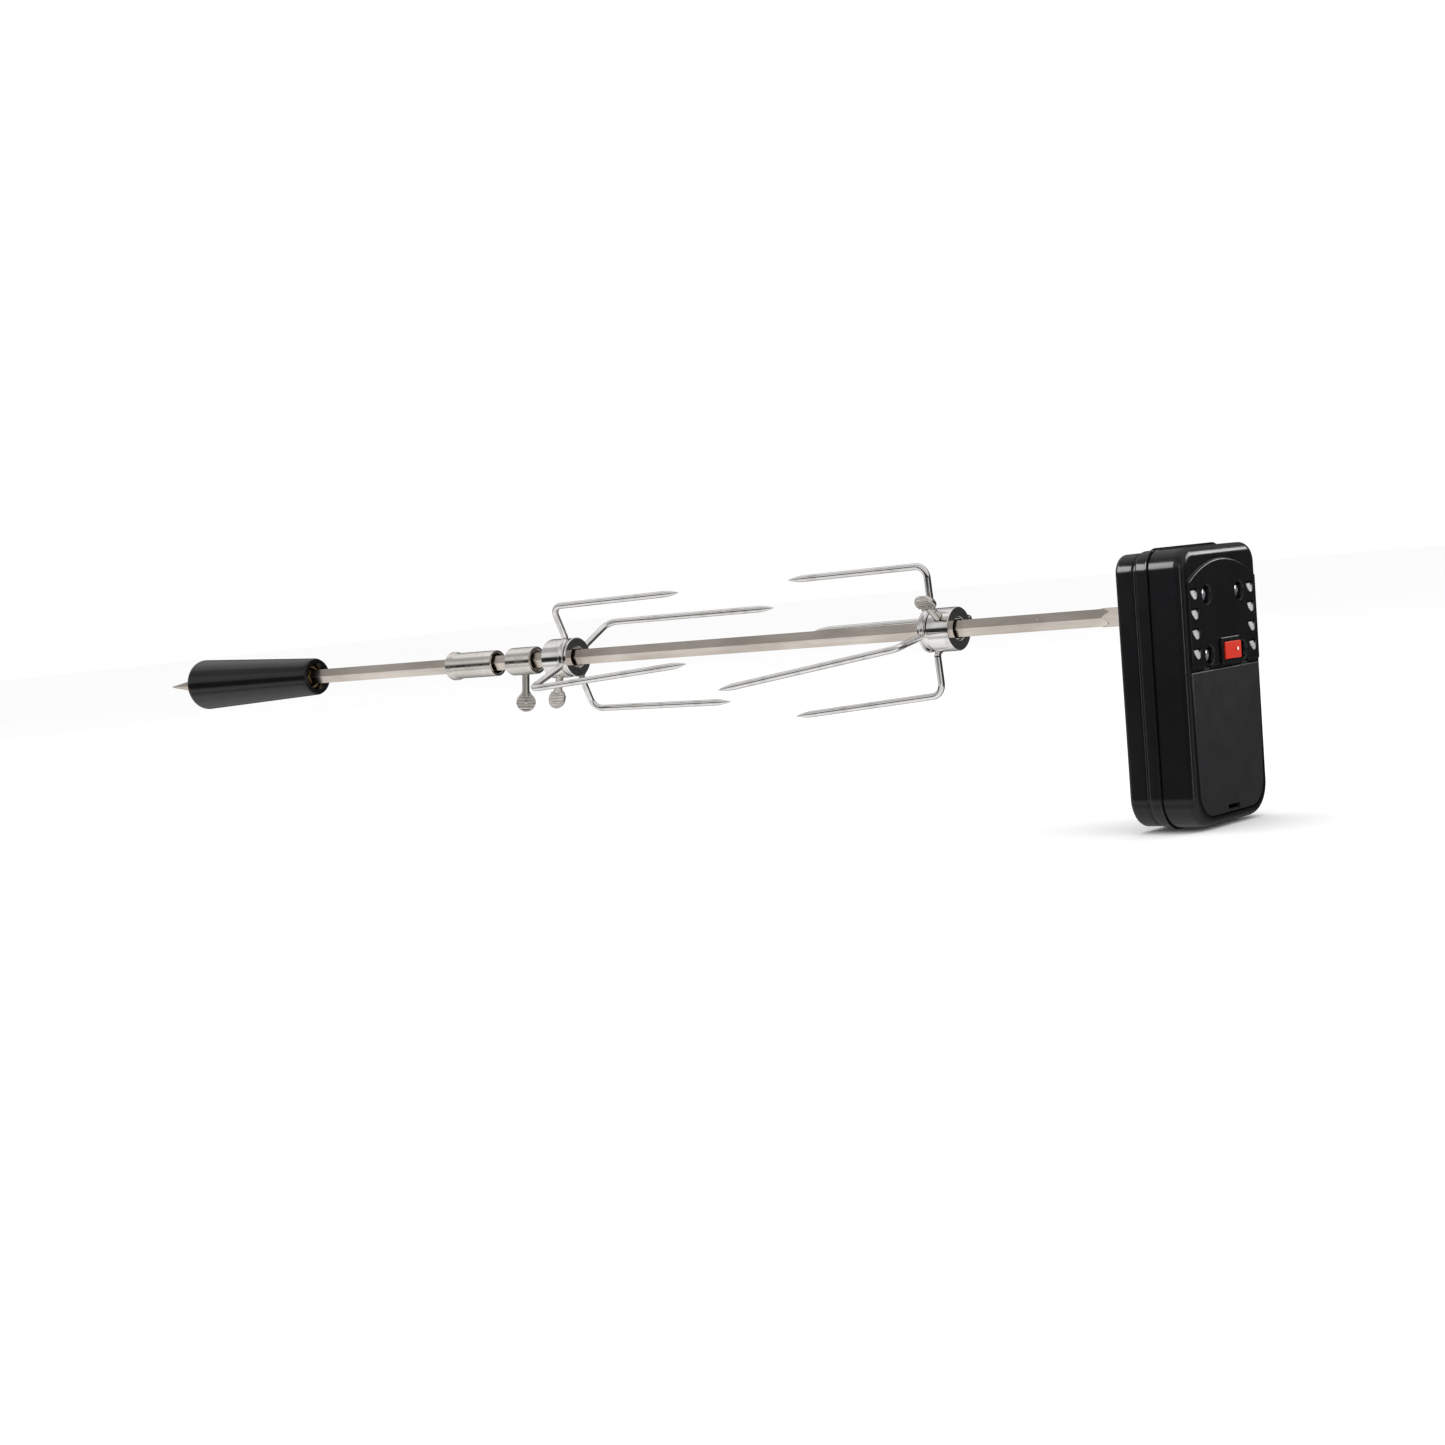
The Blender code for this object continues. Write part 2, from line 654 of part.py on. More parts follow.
def make_gears(motor):
    places, motor_at = gear_places()
    output = outline_mesh(gear_outline(OUTPUT_TEETH), *layer(0))
    gear = add_mesh("output_gear", output, motor)
    cut(gear, "output_bore", rod_mesh((0, 0, 0), (SOCKET_END, 0, 0), SOCKET_RADIUS + GAP, 32))
    finish(gear, "gear_plastic")
    for number, (place, teeth) in enumerate(zip(places, GEAR_BIG_TEETH), 1):
        axis = add_empty(f"gear_axis_{number}", (0, place.x, place.y), motor)
        small_start, small_end = layer(number - 1)
        big_start, big_end = layer(number)
        gear = add_mesh(f"gear_{number}", outline_mesh(gear_outline(teeth), big_start, big_end), axis)
        join(gear, f"small_{number}", outline_mesh(gear_outline(SMALL_TEETH), small_start, big_start + MM))
        bore = rod_mesh((small_start - MM, 0, 0), (big_end + MM, 0, 0), PIN_RADIUS + GAP, 12)
        cut(gear, f"bore_{number}", bore)
        finish(gear, "gear_plastic")
        pin = rod_mesh((PIN_START, 0, 0), (PIN_END, 0, 0), PIN_RADIUS, 12)
        finish(add_mesh(f"gear_pin_{number}", pin, axis), "steel")
    make_motor(motor, motor_at)
    make_plates(motor, places, motor_at)


def make_motor(motor, place):
    axis = add_empty("motor_axis", (0, place.x, place.y), motor)
    can_start = PLATE_FRONT_X + PLATE_THICK + GAP
    can = rod_mesh((can_start, 0, 0), (can_start + MOTOR_LENGTH, 0, 0), MOTOR_RADIUS, 28)
    can = add_mesh("motor_can", can, axis)
    hole_end = can_start + SHAFT_DEPTH + MM
    hole = rod_mesh((can_start - MM, 0, 0), (hole_end, 0, 0), PIN_RADIUS + GAP, 12)
    cut(can, "shaft_hole", hole)
    finish(can, "steel")
    start, end = layer(len(GEAR_BIG_TEETH))
    pinion = add_mesh("motor_pinion", outline_mesh(gear_outline(PINION_TEETH), start, end), axis)
    shaft = rod_mesh((end - MM, 0, 0), (can_start + SHAFT_DEPTH, 0, 0), PIN_RADIUS, 12)
    join(pinion, "motor_shaft", shaft)
    finish(pinion, "brass")


def make_plates(motor, places, motor_at):
    """Two steel plates that hold the gear pins, with holes for the socket and the screw bosses."""
    holes = [(0, 0, SOCKET_RADIUS + GAP)]
    holes += [(place.x, place.y, PIN_RADIUS + GAP) for place in places]
    holes += [(y, z, BOSS_RADIUS + GAP * 2) for y, z in screw_places() if z > 0]
    holes += [(*motor_at, PIN_RADIUS + GAP)]
    for name, at in (("gear_plate_rear", PLATE_REAR_X), ("gear_plate_front", PLATE_FRONT_X)):
        plate = cube_mesh((at, PLATE_Y[0], PLATE_Z[0]), (at + PLATE_THICK, PLATE_Y[1], PLATE_Z[1]))
        plate = add_mesh(name, plate, motor)
        for number, (y, z, radius) in enumerate(holes):
            hole = rod_mesh((at - MM, y, z), (at + PLATE_THICK + MM, y, z), radius, 16)
            cut(plate, f"{name}_hole_{number}", hole)
        finish(plate, "steel")


def make_drive_socket(motor):
    socket = add_mesh("drive_socket", rod_mesh((SOCKET_START, 0, 0), (SOCKET_END, 0, 0), SOCKET_RADIUS, 32), motor)
    half = SOCKET_SQUARE / 2
    square = cube_mesh((SOCKET_START - MM, -half, -half), (SOCKET_START + SOCKET_DEPTH, half, half))
    bmesh.ops.rotate(square, matrix=Matrix.Rotation(radians(45), 3, "X"), verts=square.verts)
    cut(socket, "square_bore", square)
    finish(socket, "steel")
    outer = SPIT_HOLE - GAP
    flange = SPIT_HOLE + BUSH_FLANGE
    low, high = WALL + GAP, WALL + GAP + BUSH_FLANGE_THICK
    inner = SOCKET_RADIUS + GAP
    profile = [(high, flange), (low, flange), (low, outer), (GAP, outer), (GAP, inner), (high, inner)]
    turned("socket_bush", profile, motor, "brass")


# Batteries


def make_batteries(motor):
    for number, side in enumerate((-1, 1), 1):
        place = Vector((CELL_X, side * CELL_Y, 0))
        base = place + Vector((0, 0, CELL_BASE))
        top = base + Vector((0, 0, CELL_LENGTH))
        cell = add_mesh(f"battery_{number}", rod_mesh(base, top, CELL_RADIUS, 28), motor)
        nub_ends = (top - Vector((0, 0, MM)), top + Vector((0, 0, CELL_NUB)))
        nub = rod_mesh(*nub_ends, CELL_NUB_RADIUS, 16)
        join(cell, f"nub_{number}", nub)
        finish(cell, "cell_jacket")
        make_contact_spring(number, place, motor)
        low = place + Vector((-CONTACT_HALF, -CONTACT_HALF, CONTACT_Z[0]))
        high = place + Vector((CONTACT_HALF, CONTACT_HALF, CONTACT_Z[1]))
        finish(add_mesh(f"contact_plate_{number}", cube_mesh(low, high), motor), "brass")


def make_contact_spring(number, place, motor):
    """A conical coil, wide on its plate and narrow under the cell."""
    count = SPRING_TURNS * 10
    curve = bpy.data.curves.new(f"spring_{number}", "CURVE")
    curve.dimensions = "3D"
    curve.bevel_depth = SPRING_WIRE
    curve.bevel_resolution = 1
    curve.use_fill_caps = True
    spline = curve.splines.new("POLY")
    spline.points.add(count)
    for i, point in enumerate(spline.points):
        share = i / count
        angle = 2 * pi * SPRING_TURNS * share
        radius = SPRING_RADII[0] + (SPRING_RADII[1] - SPRING_RADII[0]) * share
        height = SPRING_BASE + (SPRING_TOP - SPRING_BASE) * share
        point.co = (place.x + radius * cos(angle), place.y + radius * sin(angle), height, 1)
    finish(add_mesh(f"contact_spring_{number}", welded(curve), motor), "chrome")


def welded(curve):
    """A curve's tube as a closed bmesh."""
    obj = bpy.data.objects.new(curve.name, curve)
    CUTTERS.objects.link(obj)
    graph = bpy.context.evaluated_depsgraph_get()
    mesh = bpy.data.meshes.new_from_object(obj.evaluated_get(graph))
    bm = bmesh.new()
    bm.from_mesh(mesh)
    bmesh.ops.remove_doubles(bm, verts=bm.verts, dist=0.000001)
    bpy.data.objects.remove(obj, do_unlink=True)
    bpy.data.meshes.remove(mesh)
    return bm


def make_battery_bay(motor):
    half = HOUSING_WIDTH / 2 - WALL - STEP_IN - GAP
    front = HOUSING_DEPTH - WALL - MM
    low = (WALL + GAP, -half, PARTITION_Z)
    high = (front, half, PARTITION_Z + PARTITION_THICK)
    finish(add_mesh("battery_partition", cube_mesh(low, high), motor), "black_plastic")
    top = PARTITION_Z - GAP
    under = top - BLOCK_HEIGHT
    block = cube_mesh((BLOCK_X[0], -BLOCK_HALF, under), (BLOCK_X[1], BLOCK_HALF, top))
    finish(add_mesh("contact_block", block, motor), "black_plastic")
    low = (BRIDGE_X[0], -BRIDGE_HALF, under - GAP - BRIDGE_THICK)
    strip = cube_mesh(low, (BRIDGE_X[1], BRIDGE_HALF, under - GAP))
    finish(add_mesh("contact_bridge", strip, motor), "brass")


# Spit and what slides on it


def make_spit(axis):
    corner = HEX_FLATS / sqrt(3)
    bm = rod_mesh((HEX_START, 0, 0), (HEX_END, 0, 0), corner, 6)
    sides = [v for v in bm.verts if v.co.x > HEX_START - MM]
    first = min(sides, key=lambda v: -v.co.y)
    spin = -atan2(first.co.z, first.co.y)
    bmesh.ops.rotate(bm, matrix=Matrix.Rotation(spin, 3, "X"), verts=bm.verts)
    ends = [f for f in bm.faces if len(f.verts) == 6]
    back = min(ends, key=lambda f: f.calc_center_median().x)
    front = max(ends, key=lambda f: f.calc_center_median().x)
    draw_out(bm, back, SPIT_TIP - HEX_END, 0.1)
    draw_out(bm, front, SHOULDER_TAPER, 0.8)
    spit = add_mesh("spit_rod", bm, axis)
    half = TANG / 2
    tang = cube_mesh((HEX_START - 2 * MM, -half, -half), (TANG_END, half, half))
    bmesh.ops.rotate(tang, matrix=Matrix.Rotation(radians(45), 3, "X"), verts=tang.verts)
    join(spit, "spit_tang", tang)
    return finish(spit, "steel")


def draw_out(bm, face, distance, scale):
    """Extrudes an end face along X and shrinks it."""
    made = bmesh.ops.extrude_face_region(bm, geom=[face])
    verts = [g for g in made["geom"] if isinstance(g, bmesh.types.BMVert)]
    bmesh.ops.delete(bm, geom=[face], context="FACES_ONLY")
    bmesh.ops.scale(bm, vec=(1, scale, scale), verts=verts)
    bmesh.ops.translate(bm, vec=(distance, 0, 0), verts=verts)


def make_handle(axis):
    """A tapered grip, open at both ends, with a counterbore in its narrow front."""
    front, back = HANDLE_FRONT, HANDLE_BACK
    round_at = back + HANDLE_END_ROUND
    skin = [(front, HANDLE_FRONT_RADIUS - HANDLE_EDGE), (front - HANDLE_EDGE, HANDLE_FRONT_RADIUS)]
    skin += [(round_at, HANDLE_BACK_RADIUS)]
    for step in range(1, 5):
        a = radians(90 * step / 4)
        inward = HANDLE_END_ROUND * (1 - cos(a))
        skin.append((round_at - HANDLE_END_ROUND * sin(a), HANDLE_BACK_RADIUS - inward))
    floor = front - HANDLE_RECESS_DEPTH
    bore = [(back, HANDLE_BORE), (floor, HANDLE_BORE)]
    recess = [(floor, HANDLE_RECESS), (front, HANDLE_RECESS)]
    pivot = add_empty("handle_axis", (0, 0, 0), axis)
    turned("handle_grip", skin + bore + recess, pivot, "gloss_black", 28)
    start = floor + GAP
    ring = tube_profile(start, start + FERRULE_LENGTH, HANDLE_RECESS - GAP, HANDLE_BORE, FERRULE_EDGE)
    turned("handle_ferrule", ring, pivot, "brass", 24)


def make_bushing(axis):
    start, end = BUSHING_ENDS
    bevel = BUSHING_EDGE
    flange_end = start + BUSHING_FLANGE
    profile = [
        (end, BUSHING_RADIUS - bevel),
        (end - bevel, BUSHING_RADIUS),
        (flange_end + bevel, BUSHING_RADIUS),
        (flange_end, BUSHING_FLANGE_RADIUS),
        (start + bevel, BUSHING_FLANGE_RADIUS),
        (start, BUSHING_FLANGE_RADIUS - bevel),
        (start, SPIT_BORE),
        (end, SPIT_BORE),
    ]
    turned("grill_bushing", profile, add_empty("bushing_axis", (0, 0, 0), axis), "steel")


def make_collar(axis):
    start, end = COLLAR_ENDS
    pivot = add_empty("collar_axis", (0, 0, 0), axis)
    profile = tube_profile(start, end, COLLAR_RADIUS, SPIT_BORE, COLLAR_EDGE)
    collar = turned("stop_collar", profile, pivot, "chrome")
    bore_for_screw(collar, "collar_screw_hole", COLLAR_SCREW_X, COLLAR_SCREW_ANGLE, pivot)
    make_thumb_screw("collar_screw", COLLAR_SCREW_X, COLLAR_SCREW_ANGLE, COLLAR_SCREW_TWIST, pivot)


def radial(x, angle, radius):
    return Vector((x, radius * cos(radians(angle)), radius * sin(radians(angle))))


def bore_for_screw(obj, name, x, angle, parent):
    inner, outer = radial(x, angle, SPIT_BORE / 3), radial(x, angle, HUB_RADIUS + 3 * MM)
    hole = rod_mesh(inner, outer, STEM_RADIUS + GAP, 16)
    combine(obj, cutter(name, hole, parent), "DIFFERENCE")


def make_thumb_screw(name, x, angle, twist, parent):
    """A round stem with a flat ribbed paddle; twist turns the paddle about the stem."""
    pivot = add_empty(f"{name}_axis", radial(x, angle, 0), parent)
    pivot.rotation_euler = (radians(angle - 90), 0, 0)
    turn = Matrix.Rotation(radians(twist), 4, "Z")
    stem = rod_mesh((0, 0, STEM_START), (0, 0, STEM_END), STEM_RADIUS, 16)
    screw = add_mesh(name, stem, pivot)
    half = Vector((0, PADDLE_THICK / 2, 0))
    centre = Vector((0, 0, PADDLE_AT))
    paddle = rod_mesh(centre - half, centre + half, PADDLE_RADIUS, 24)
    bmesh.ops.transform(paddle, matrix=turn, verts=paddle.verts)
    join(screw, f"{name}_paddle", paddle)
    for rib in range(RIBS):
        height = (rib - (RIBS - 1) / 2) * RIB_PITCH
        reach = sqrt(PADDLE_RADIUS**2 - height**2) - RIB_INSET
        size = Vector((reach, PADDLE_THICK / 2 + RIB_PROUD, RIB_HALF))
        at = centre + Vector((0, 0, height))
        bar = cube_mesh(at - size, at + size)
        bmesh.ops.transform(bar, matrix=turn, verts=bar.verts)
        join(screw, f"{name}_rib_{rib}", bar)
    return finish(screw, "steel")


# Forks


def make_fork(side, hub_start, heading, prongs, screw, axis):
    """A grooved hub with two bent wires; heading is the way the prongs point along X.

    prongs holds, for wire a and then wire b, two prongs as (angle, radius, length, lift): where
    the prong stands round the spit, how long it is and how far its point rises. screw holds the
    thumb screw's angle round the spit and the twist of its paddle.
    """
    pivot = add_empty(f"{side}_fork_axis", (0, 0, 0), axis)
    nose = hub_start + heading * HUB_LENGTH
    lip = nose - heading * HUB_LIP
    heel = lip - heading * GROOVE_WIDTH
    bevel = HUB_EDGE
    skin = [
        (hub_start, HUB_RADIUS - bevel),
        (hub_start + heading * bevel, HUB_RADIUS),
        (heel, HUB_RADIUS),
        (heel, GROOVE_RADIUS),
        (lip, GROOVE_RADIUS),
        (lip, HUB_RADIUS),
        (nose - heading * bevel / 2, HUB_RADIUS),
        (nose, HUB_RADIUS - bevel / 2),
    ]
    bore = [(nose, SPIT_BORE), (hub_start, SPIT_BORE)]
    profile = skin + bore if heading < 0 else list(reversed(bore + skin))
    hub = turned(f"{side}_fork_hub", profile, pivot, "chrome")
    screw_angle, screw_twist = screw
    screw_x = hub_start + heading * HUB_SCREW_INSET
    bore_for_screw(hub, f"{side}_hub_hole", screw_x, screw_angle, pivot)
    make_thumb_screw(f"{side}_fork_screw", screw_x, screw_angle, screw_twist, pivot)
    plane = (lip + heel) / 2
    for letter, pair in zip("ab", prongs):
        make_fork_wire(f"{side}_fork_wire_{letter}", plane, heading, pair, pivot)


def prong_points(plane, heading, prong, turn):
    """From the point of one prong to where its wire meets the hub; turn is +1 or -1 about X."""
    angle, radius, length, lift = prong
    across = radial(0, angle, 1)
    along = Vector((heading, 0, 0))
    tip = across * radius + along * length + Vector((0, 0, lift))
    bend_end = across * radius + along * WIRE_CORNER + Vector((0, 0, lift * WIRE_CORNER / length))
    taper_end = tip + (bend_end - tip).normalized() * POINT_LENGTH
    points = [(tip, POINT_SCALE), (taper_end, 1)]
    for step in range(5):
        a = radians(90 * step / 4)
        bend = radius - WIRE_CORNER * (1 - cos(a))
        points.append((across * bend + along * WIRE_CORNER * (1 - sin(a)), 1))
    points[2] = (bend_end, 1)
    reach = WIRE_WRAP + WIRE_FILLET
    offset = asin(WIRE_FILLET / reach) * 180 / pi * turn
    centre = radial(0, angle + offset, reach)
    for step in range(4):
        a = angle - turn * (90 + (90 - abs(offset)) * step / 3)
        points.append((centre + radial(0, a, WIRE_FILLET), 1))
    shift = Vector((plane, 0, 0))
    return [(co + shift, size) for co, size in points], angle + offset


def make_fork_wire(name, plane, heading, pair, pivot):
    """One wire: a pointed prong, in to the hub, a quarter round its groove, and out to the next."""
    first, first_angle = prong_points(plane, heading, pair[0], 1)
    second, second_angle = prong_points(plane, heading, pair[1], -1)
    sweep = second_angle - first_angle
    wrap = [(radial(plane, first_angle + sweep * i / 5, WIRE_WRAP), 1) for i in range(1, 5)]
    path = first + wrap + second[::-1]
    curve = bpy.data.curves.new(name, "CURVE")
    curve.dimensions = "3D"
    curve.bevel_depth = WIRE_RADIUS
    curve.bevel_resolution = 2
    curve.use_fill_caps = True
    spline = curve.splines.new("POLY")
    spline.points.add(len(path) - 1)
    for point, (co, size) in zip(spline.points, path):
        point.co = (*co, 1)
        point.radius = size
    finish(add_mesh(name, welded(curve), pivot), "chrome")


def make_forks(axis):
    make_fork("left", LEFT_HUB_X, 1, LEFT_PRONGS, LEFT_SCREW, axis)
    make_fork("right", RIGHT_HUB_X, -1, RIGHT_PRONGS, RIGHT_SCREW, axis)


def build():
    motor = add_empty("spit_axis", (0, 0, SPIT_Z))
    make_rear_shell(motor)
    make_front_shell(motor)
    make_battery_door(motor)
    make_housing_screws(motor)
    make_switch(motor)
    make_gears(motor)
    make_drive_socket(motor)
    make_batteries(motor)
    make_battery_bay(motor)
    make_spit(motor)
    make_handle(motor)
    make_bushing(motor)
    make_collar(motor)
    make_forks(motor)


clear_scene()
PARTS = new_collection("rotisserie_spit_roaster")
CUTTERS = new_collection("cutters")
MATERIALS = make_materials()
build()
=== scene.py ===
"""Looks for the rotisserie spit roaster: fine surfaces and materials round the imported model."""

import json
from math import asin, atan2, cos, pi, radians, sin, sqrt

import bmesh
import bpy
from mathutils import Matrix, Vector

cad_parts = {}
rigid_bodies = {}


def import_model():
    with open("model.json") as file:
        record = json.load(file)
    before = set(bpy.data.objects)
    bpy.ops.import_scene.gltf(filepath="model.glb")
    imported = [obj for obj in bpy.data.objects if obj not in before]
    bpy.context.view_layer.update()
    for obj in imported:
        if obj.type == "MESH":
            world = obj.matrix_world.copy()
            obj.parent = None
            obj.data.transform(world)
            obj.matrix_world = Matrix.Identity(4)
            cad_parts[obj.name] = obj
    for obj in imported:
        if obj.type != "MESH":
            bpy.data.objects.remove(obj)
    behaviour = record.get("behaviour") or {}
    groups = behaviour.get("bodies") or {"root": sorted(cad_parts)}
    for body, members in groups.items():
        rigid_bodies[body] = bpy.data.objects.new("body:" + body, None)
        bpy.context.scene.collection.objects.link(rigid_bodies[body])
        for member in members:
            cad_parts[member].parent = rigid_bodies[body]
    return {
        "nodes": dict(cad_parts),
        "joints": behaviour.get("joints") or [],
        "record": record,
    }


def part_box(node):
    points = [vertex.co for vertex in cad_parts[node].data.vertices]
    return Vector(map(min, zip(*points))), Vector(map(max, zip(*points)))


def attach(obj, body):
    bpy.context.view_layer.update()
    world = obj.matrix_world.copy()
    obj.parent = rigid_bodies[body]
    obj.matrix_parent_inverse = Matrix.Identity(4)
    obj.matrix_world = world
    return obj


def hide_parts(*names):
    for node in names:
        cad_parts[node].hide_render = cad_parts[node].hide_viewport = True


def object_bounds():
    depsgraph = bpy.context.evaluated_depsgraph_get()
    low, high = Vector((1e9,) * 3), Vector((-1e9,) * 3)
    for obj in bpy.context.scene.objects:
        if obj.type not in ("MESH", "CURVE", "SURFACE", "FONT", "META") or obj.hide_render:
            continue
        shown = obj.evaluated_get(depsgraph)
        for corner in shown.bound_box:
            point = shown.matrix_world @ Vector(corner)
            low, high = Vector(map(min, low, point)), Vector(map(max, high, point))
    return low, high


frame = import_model()
CAD_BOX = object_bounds()

MM = 0.001
GAP = 0.3 * MM
SPIT = Vector((0, 0, 60 * MM))
SHELL_STEPS = 14
ARCH_STEPS = 40
ROUND_STEPS = 96
SHARP_ANGLE = 32
SOFTENED_ANGLE = 40
RIM_ANGLE = 60
NOISE_LOW, NOISE_HIGH = 0.3, 0.7

PIECES = bpy.data.collections.new("looks")
GUIDES = bpy.data.collections.new("cutters")
for group in (PIECES, GUIDES):
    bpy.context.scene.collection.children.link(group)


# Material helpers


def shader_tree(name, colour, roughness, metallic=0.0, **sockets):
    """A Principled material with fixed values; returns it with its tree and shader."""
    made = bpy.data.materials.new(f"{name}_finish")
    made.use_nodes = True
    tree = made.node_tree
    shader = tree.nodes["Principled BSDF"]
    shader.inputs["Base Color"].default_value = (*colour, 1)
    shader.inputs["Roughness"].default_value = roughness
    shader.inputs["Metallic"].default_value = metallic
    for socket, value in sockets.items():
        shader.inputs[socket.replace("_", " ")].default_value = value
    return made, tree, shader


def surface_noise(tree, scale, stretch=(1, 1, 1), detail=4):
    """Noise in object coordinates, stretched along the grain."""
    coords = tree.nodes.new("ShaderNodeTexCoord")
    mapping = tree.nodes.new("ShaderNodeMapping")
    mapping.inputs["Scale"].default_value = stretch
    noise = tree.nodes.new("ShaderNodeTexNoise")
    noise.inputs["Scale"].default_value = scale
    noise.inputs["Detail"].default_value = detail
    tree.links.new(coords.outputs["Object"], mapping.inputs["Vector"])
    tree.links.new(mapping.outputs["Vector"], noise.inputs["Vector"])
    return noise.outputs["Fac"]


def ramp(tree, factor, low, high, start=NOISE_LOW, end=NOISE_HIGH):
    """Maps a factor to a colour range."""
    made = tree.nodes.new("ShaderNodeValToRGB")
    made.color_ramp.elements[0].position = start
    made.color_ramp.elements[1].position = end
    made.color_ramp.elements[0].color = (*low, 1)
    made.color_ramp.elements[1].color = (*high, 1)
    tree.links.new(factor, made.inputs["Fac"])
    return made.outputs["Color"]


def spread(tree, factor, low, high):
    """Maps the middle of a noise's range to a number range."""
    made = tree.nodes.new("ShaderNodeMapRange")
    made.inputs["From Min"].default_value = NOISE_LOW
    made.inputs["From Max"].default_value = NOISE_HIGH
    made.inputs["To Min"].default_value = low
    made.inputs["To Max"].default_value = high
    tree.links.new(factor, made.inputs["Value"])
    return made.outputs["Result"]


def bump(tree, shader, height, strength, distance):
    """Gives a shader fine relief that its mesh doesn't have."""
    made = tree.nodes.new("ShaderNodeBump")
    made.inputs["Strength"].default_value = strength
    made.inputs["Distance"].default_value = distance
    tree.links.new(height, made.inputs["Height"])
    tree.links.new(made.outputs["Normal"], shader.inputs["Normal"])


def mix_colours(tree, factor, first, second):
    """Mixes two colours, each a plain one or a node's output, by a factor."""
    made = tree.nodes.new("ShaderNodeMix")
    made.data_type = "RGBA"
    tree.links.new(factor, made.inputs["Factor"])
    for value, socket in ((first, made.inputs["A"]), (second, made.inputs["B"])):
        if isinstance(value, tuple):
            socket.default_value = (*value, 1)
        else:
            tree.links.new(value, socket)
    return made.outputs["Result"]


# Materials

# Noise scales, per metre
FLOW_MARKS = 28
GLOSS_PATCHES = 90
MOULD_GRAIN = 2600
METAL_LINES = 260
METAL_PATCHES = 55
PLATE_HAZE = 120
PLATE_WAVES = 60
PAINT_TONE = 60
PAINT_GLOSS = 140
PAINT_RIPPLE = 320


def moulded_black(name, colour, lighter, roughness, grain):
    """Moulded ABS: faint flow marks and a fine grain."""
    made, tree, shader = shader_tree(name, colour, roughness[0], Specular_IOR_Level=0.3)
    base = ramp(tree, surface_noise(tree, FLOW_MARKS, (1, 1, 0.4)), colour, lighter)
    tree.links.new(base, shader.inputs["Base Color"])
    gloss = spread(tree, surface_noise(tree, GLOSS_PATCHES), *roughness)
    tree.links.new(gloss, shader.inputs["Roughness"])
    bump(tree, shader, surface_noise(tree, MOULD_GRAIN, detail=2), grain, 0.03 * MM)
    return made


def drawn_metal(name, dark, light, roughness, stretch, strength):
    """Drawn or turned metal with fine lines along one axis and patches of tone."""
    made, tree, shader = shader_tree(name, light, roughness[0], 1.0)
    lines = surface_noise(tree, METAL_LINES, stretch, 5)
    patches = ramp(tree, surface_noise(tree, METAL_PATCHES, (0.35, 1, 1)), dark, light)
    streaked = mix_colours(tree, spread(tree, lines, 0.0, 0.45), patches, dark)
    tree.links.new(streaked, shader.inputs["Base Color"])
    tree.links.new(spread(tree, lines, *roughness), shader.inputs["Roughness"])
    bump(tree, shader, lines, strength, 0.04 * MM)
    return made


def plated(name, colour, dull, roughness):
    """Bright plate: slight waviness, faint handling haze and duller spots."""
    made, tree, shader = shader_tree(name, colour, roughness[0], 1.0)
    haze = surface_noise(tree, PLATE_HAZE, detail=6)
    tree.links.new(ramp(tree, haze, dull, colour, 0.28, 0.5), shader.inputs["Base Color"])
    tree.links.new(spread(tree, haze, roughness[1], roughness[0]), shader.inputs["Roughness"])
    bump(tree, shader, surface_noise(tree, PLATE_WAVES, detail=1), 0.01, 0.1 * MM)
    return made


def gloss_paint(name, colour, lighter, roughness):
    """A glossy coat or moulding with a soft orange-peel ripple."""
    made, tree, shader = shader_tree(name, colour, roughness[0], Specular_IOR_Level=0.35)
    base = ramp(tree, surface_noise(tree, PAINT_TONE), colour, lighter)
    tree.links.new(base, shader.inputs["Base Color"])
    gloss = spread(tree, surface_noise(tree, PAINT_GLOSS), *roughness)
    tree.links.new(gloss, shader.inputs["Roughness"])
    bump(tree, shader, surface_noise(tree, PAINT_RIPPLE, detail=1), 0.02, 0.08 * MM)
    return made


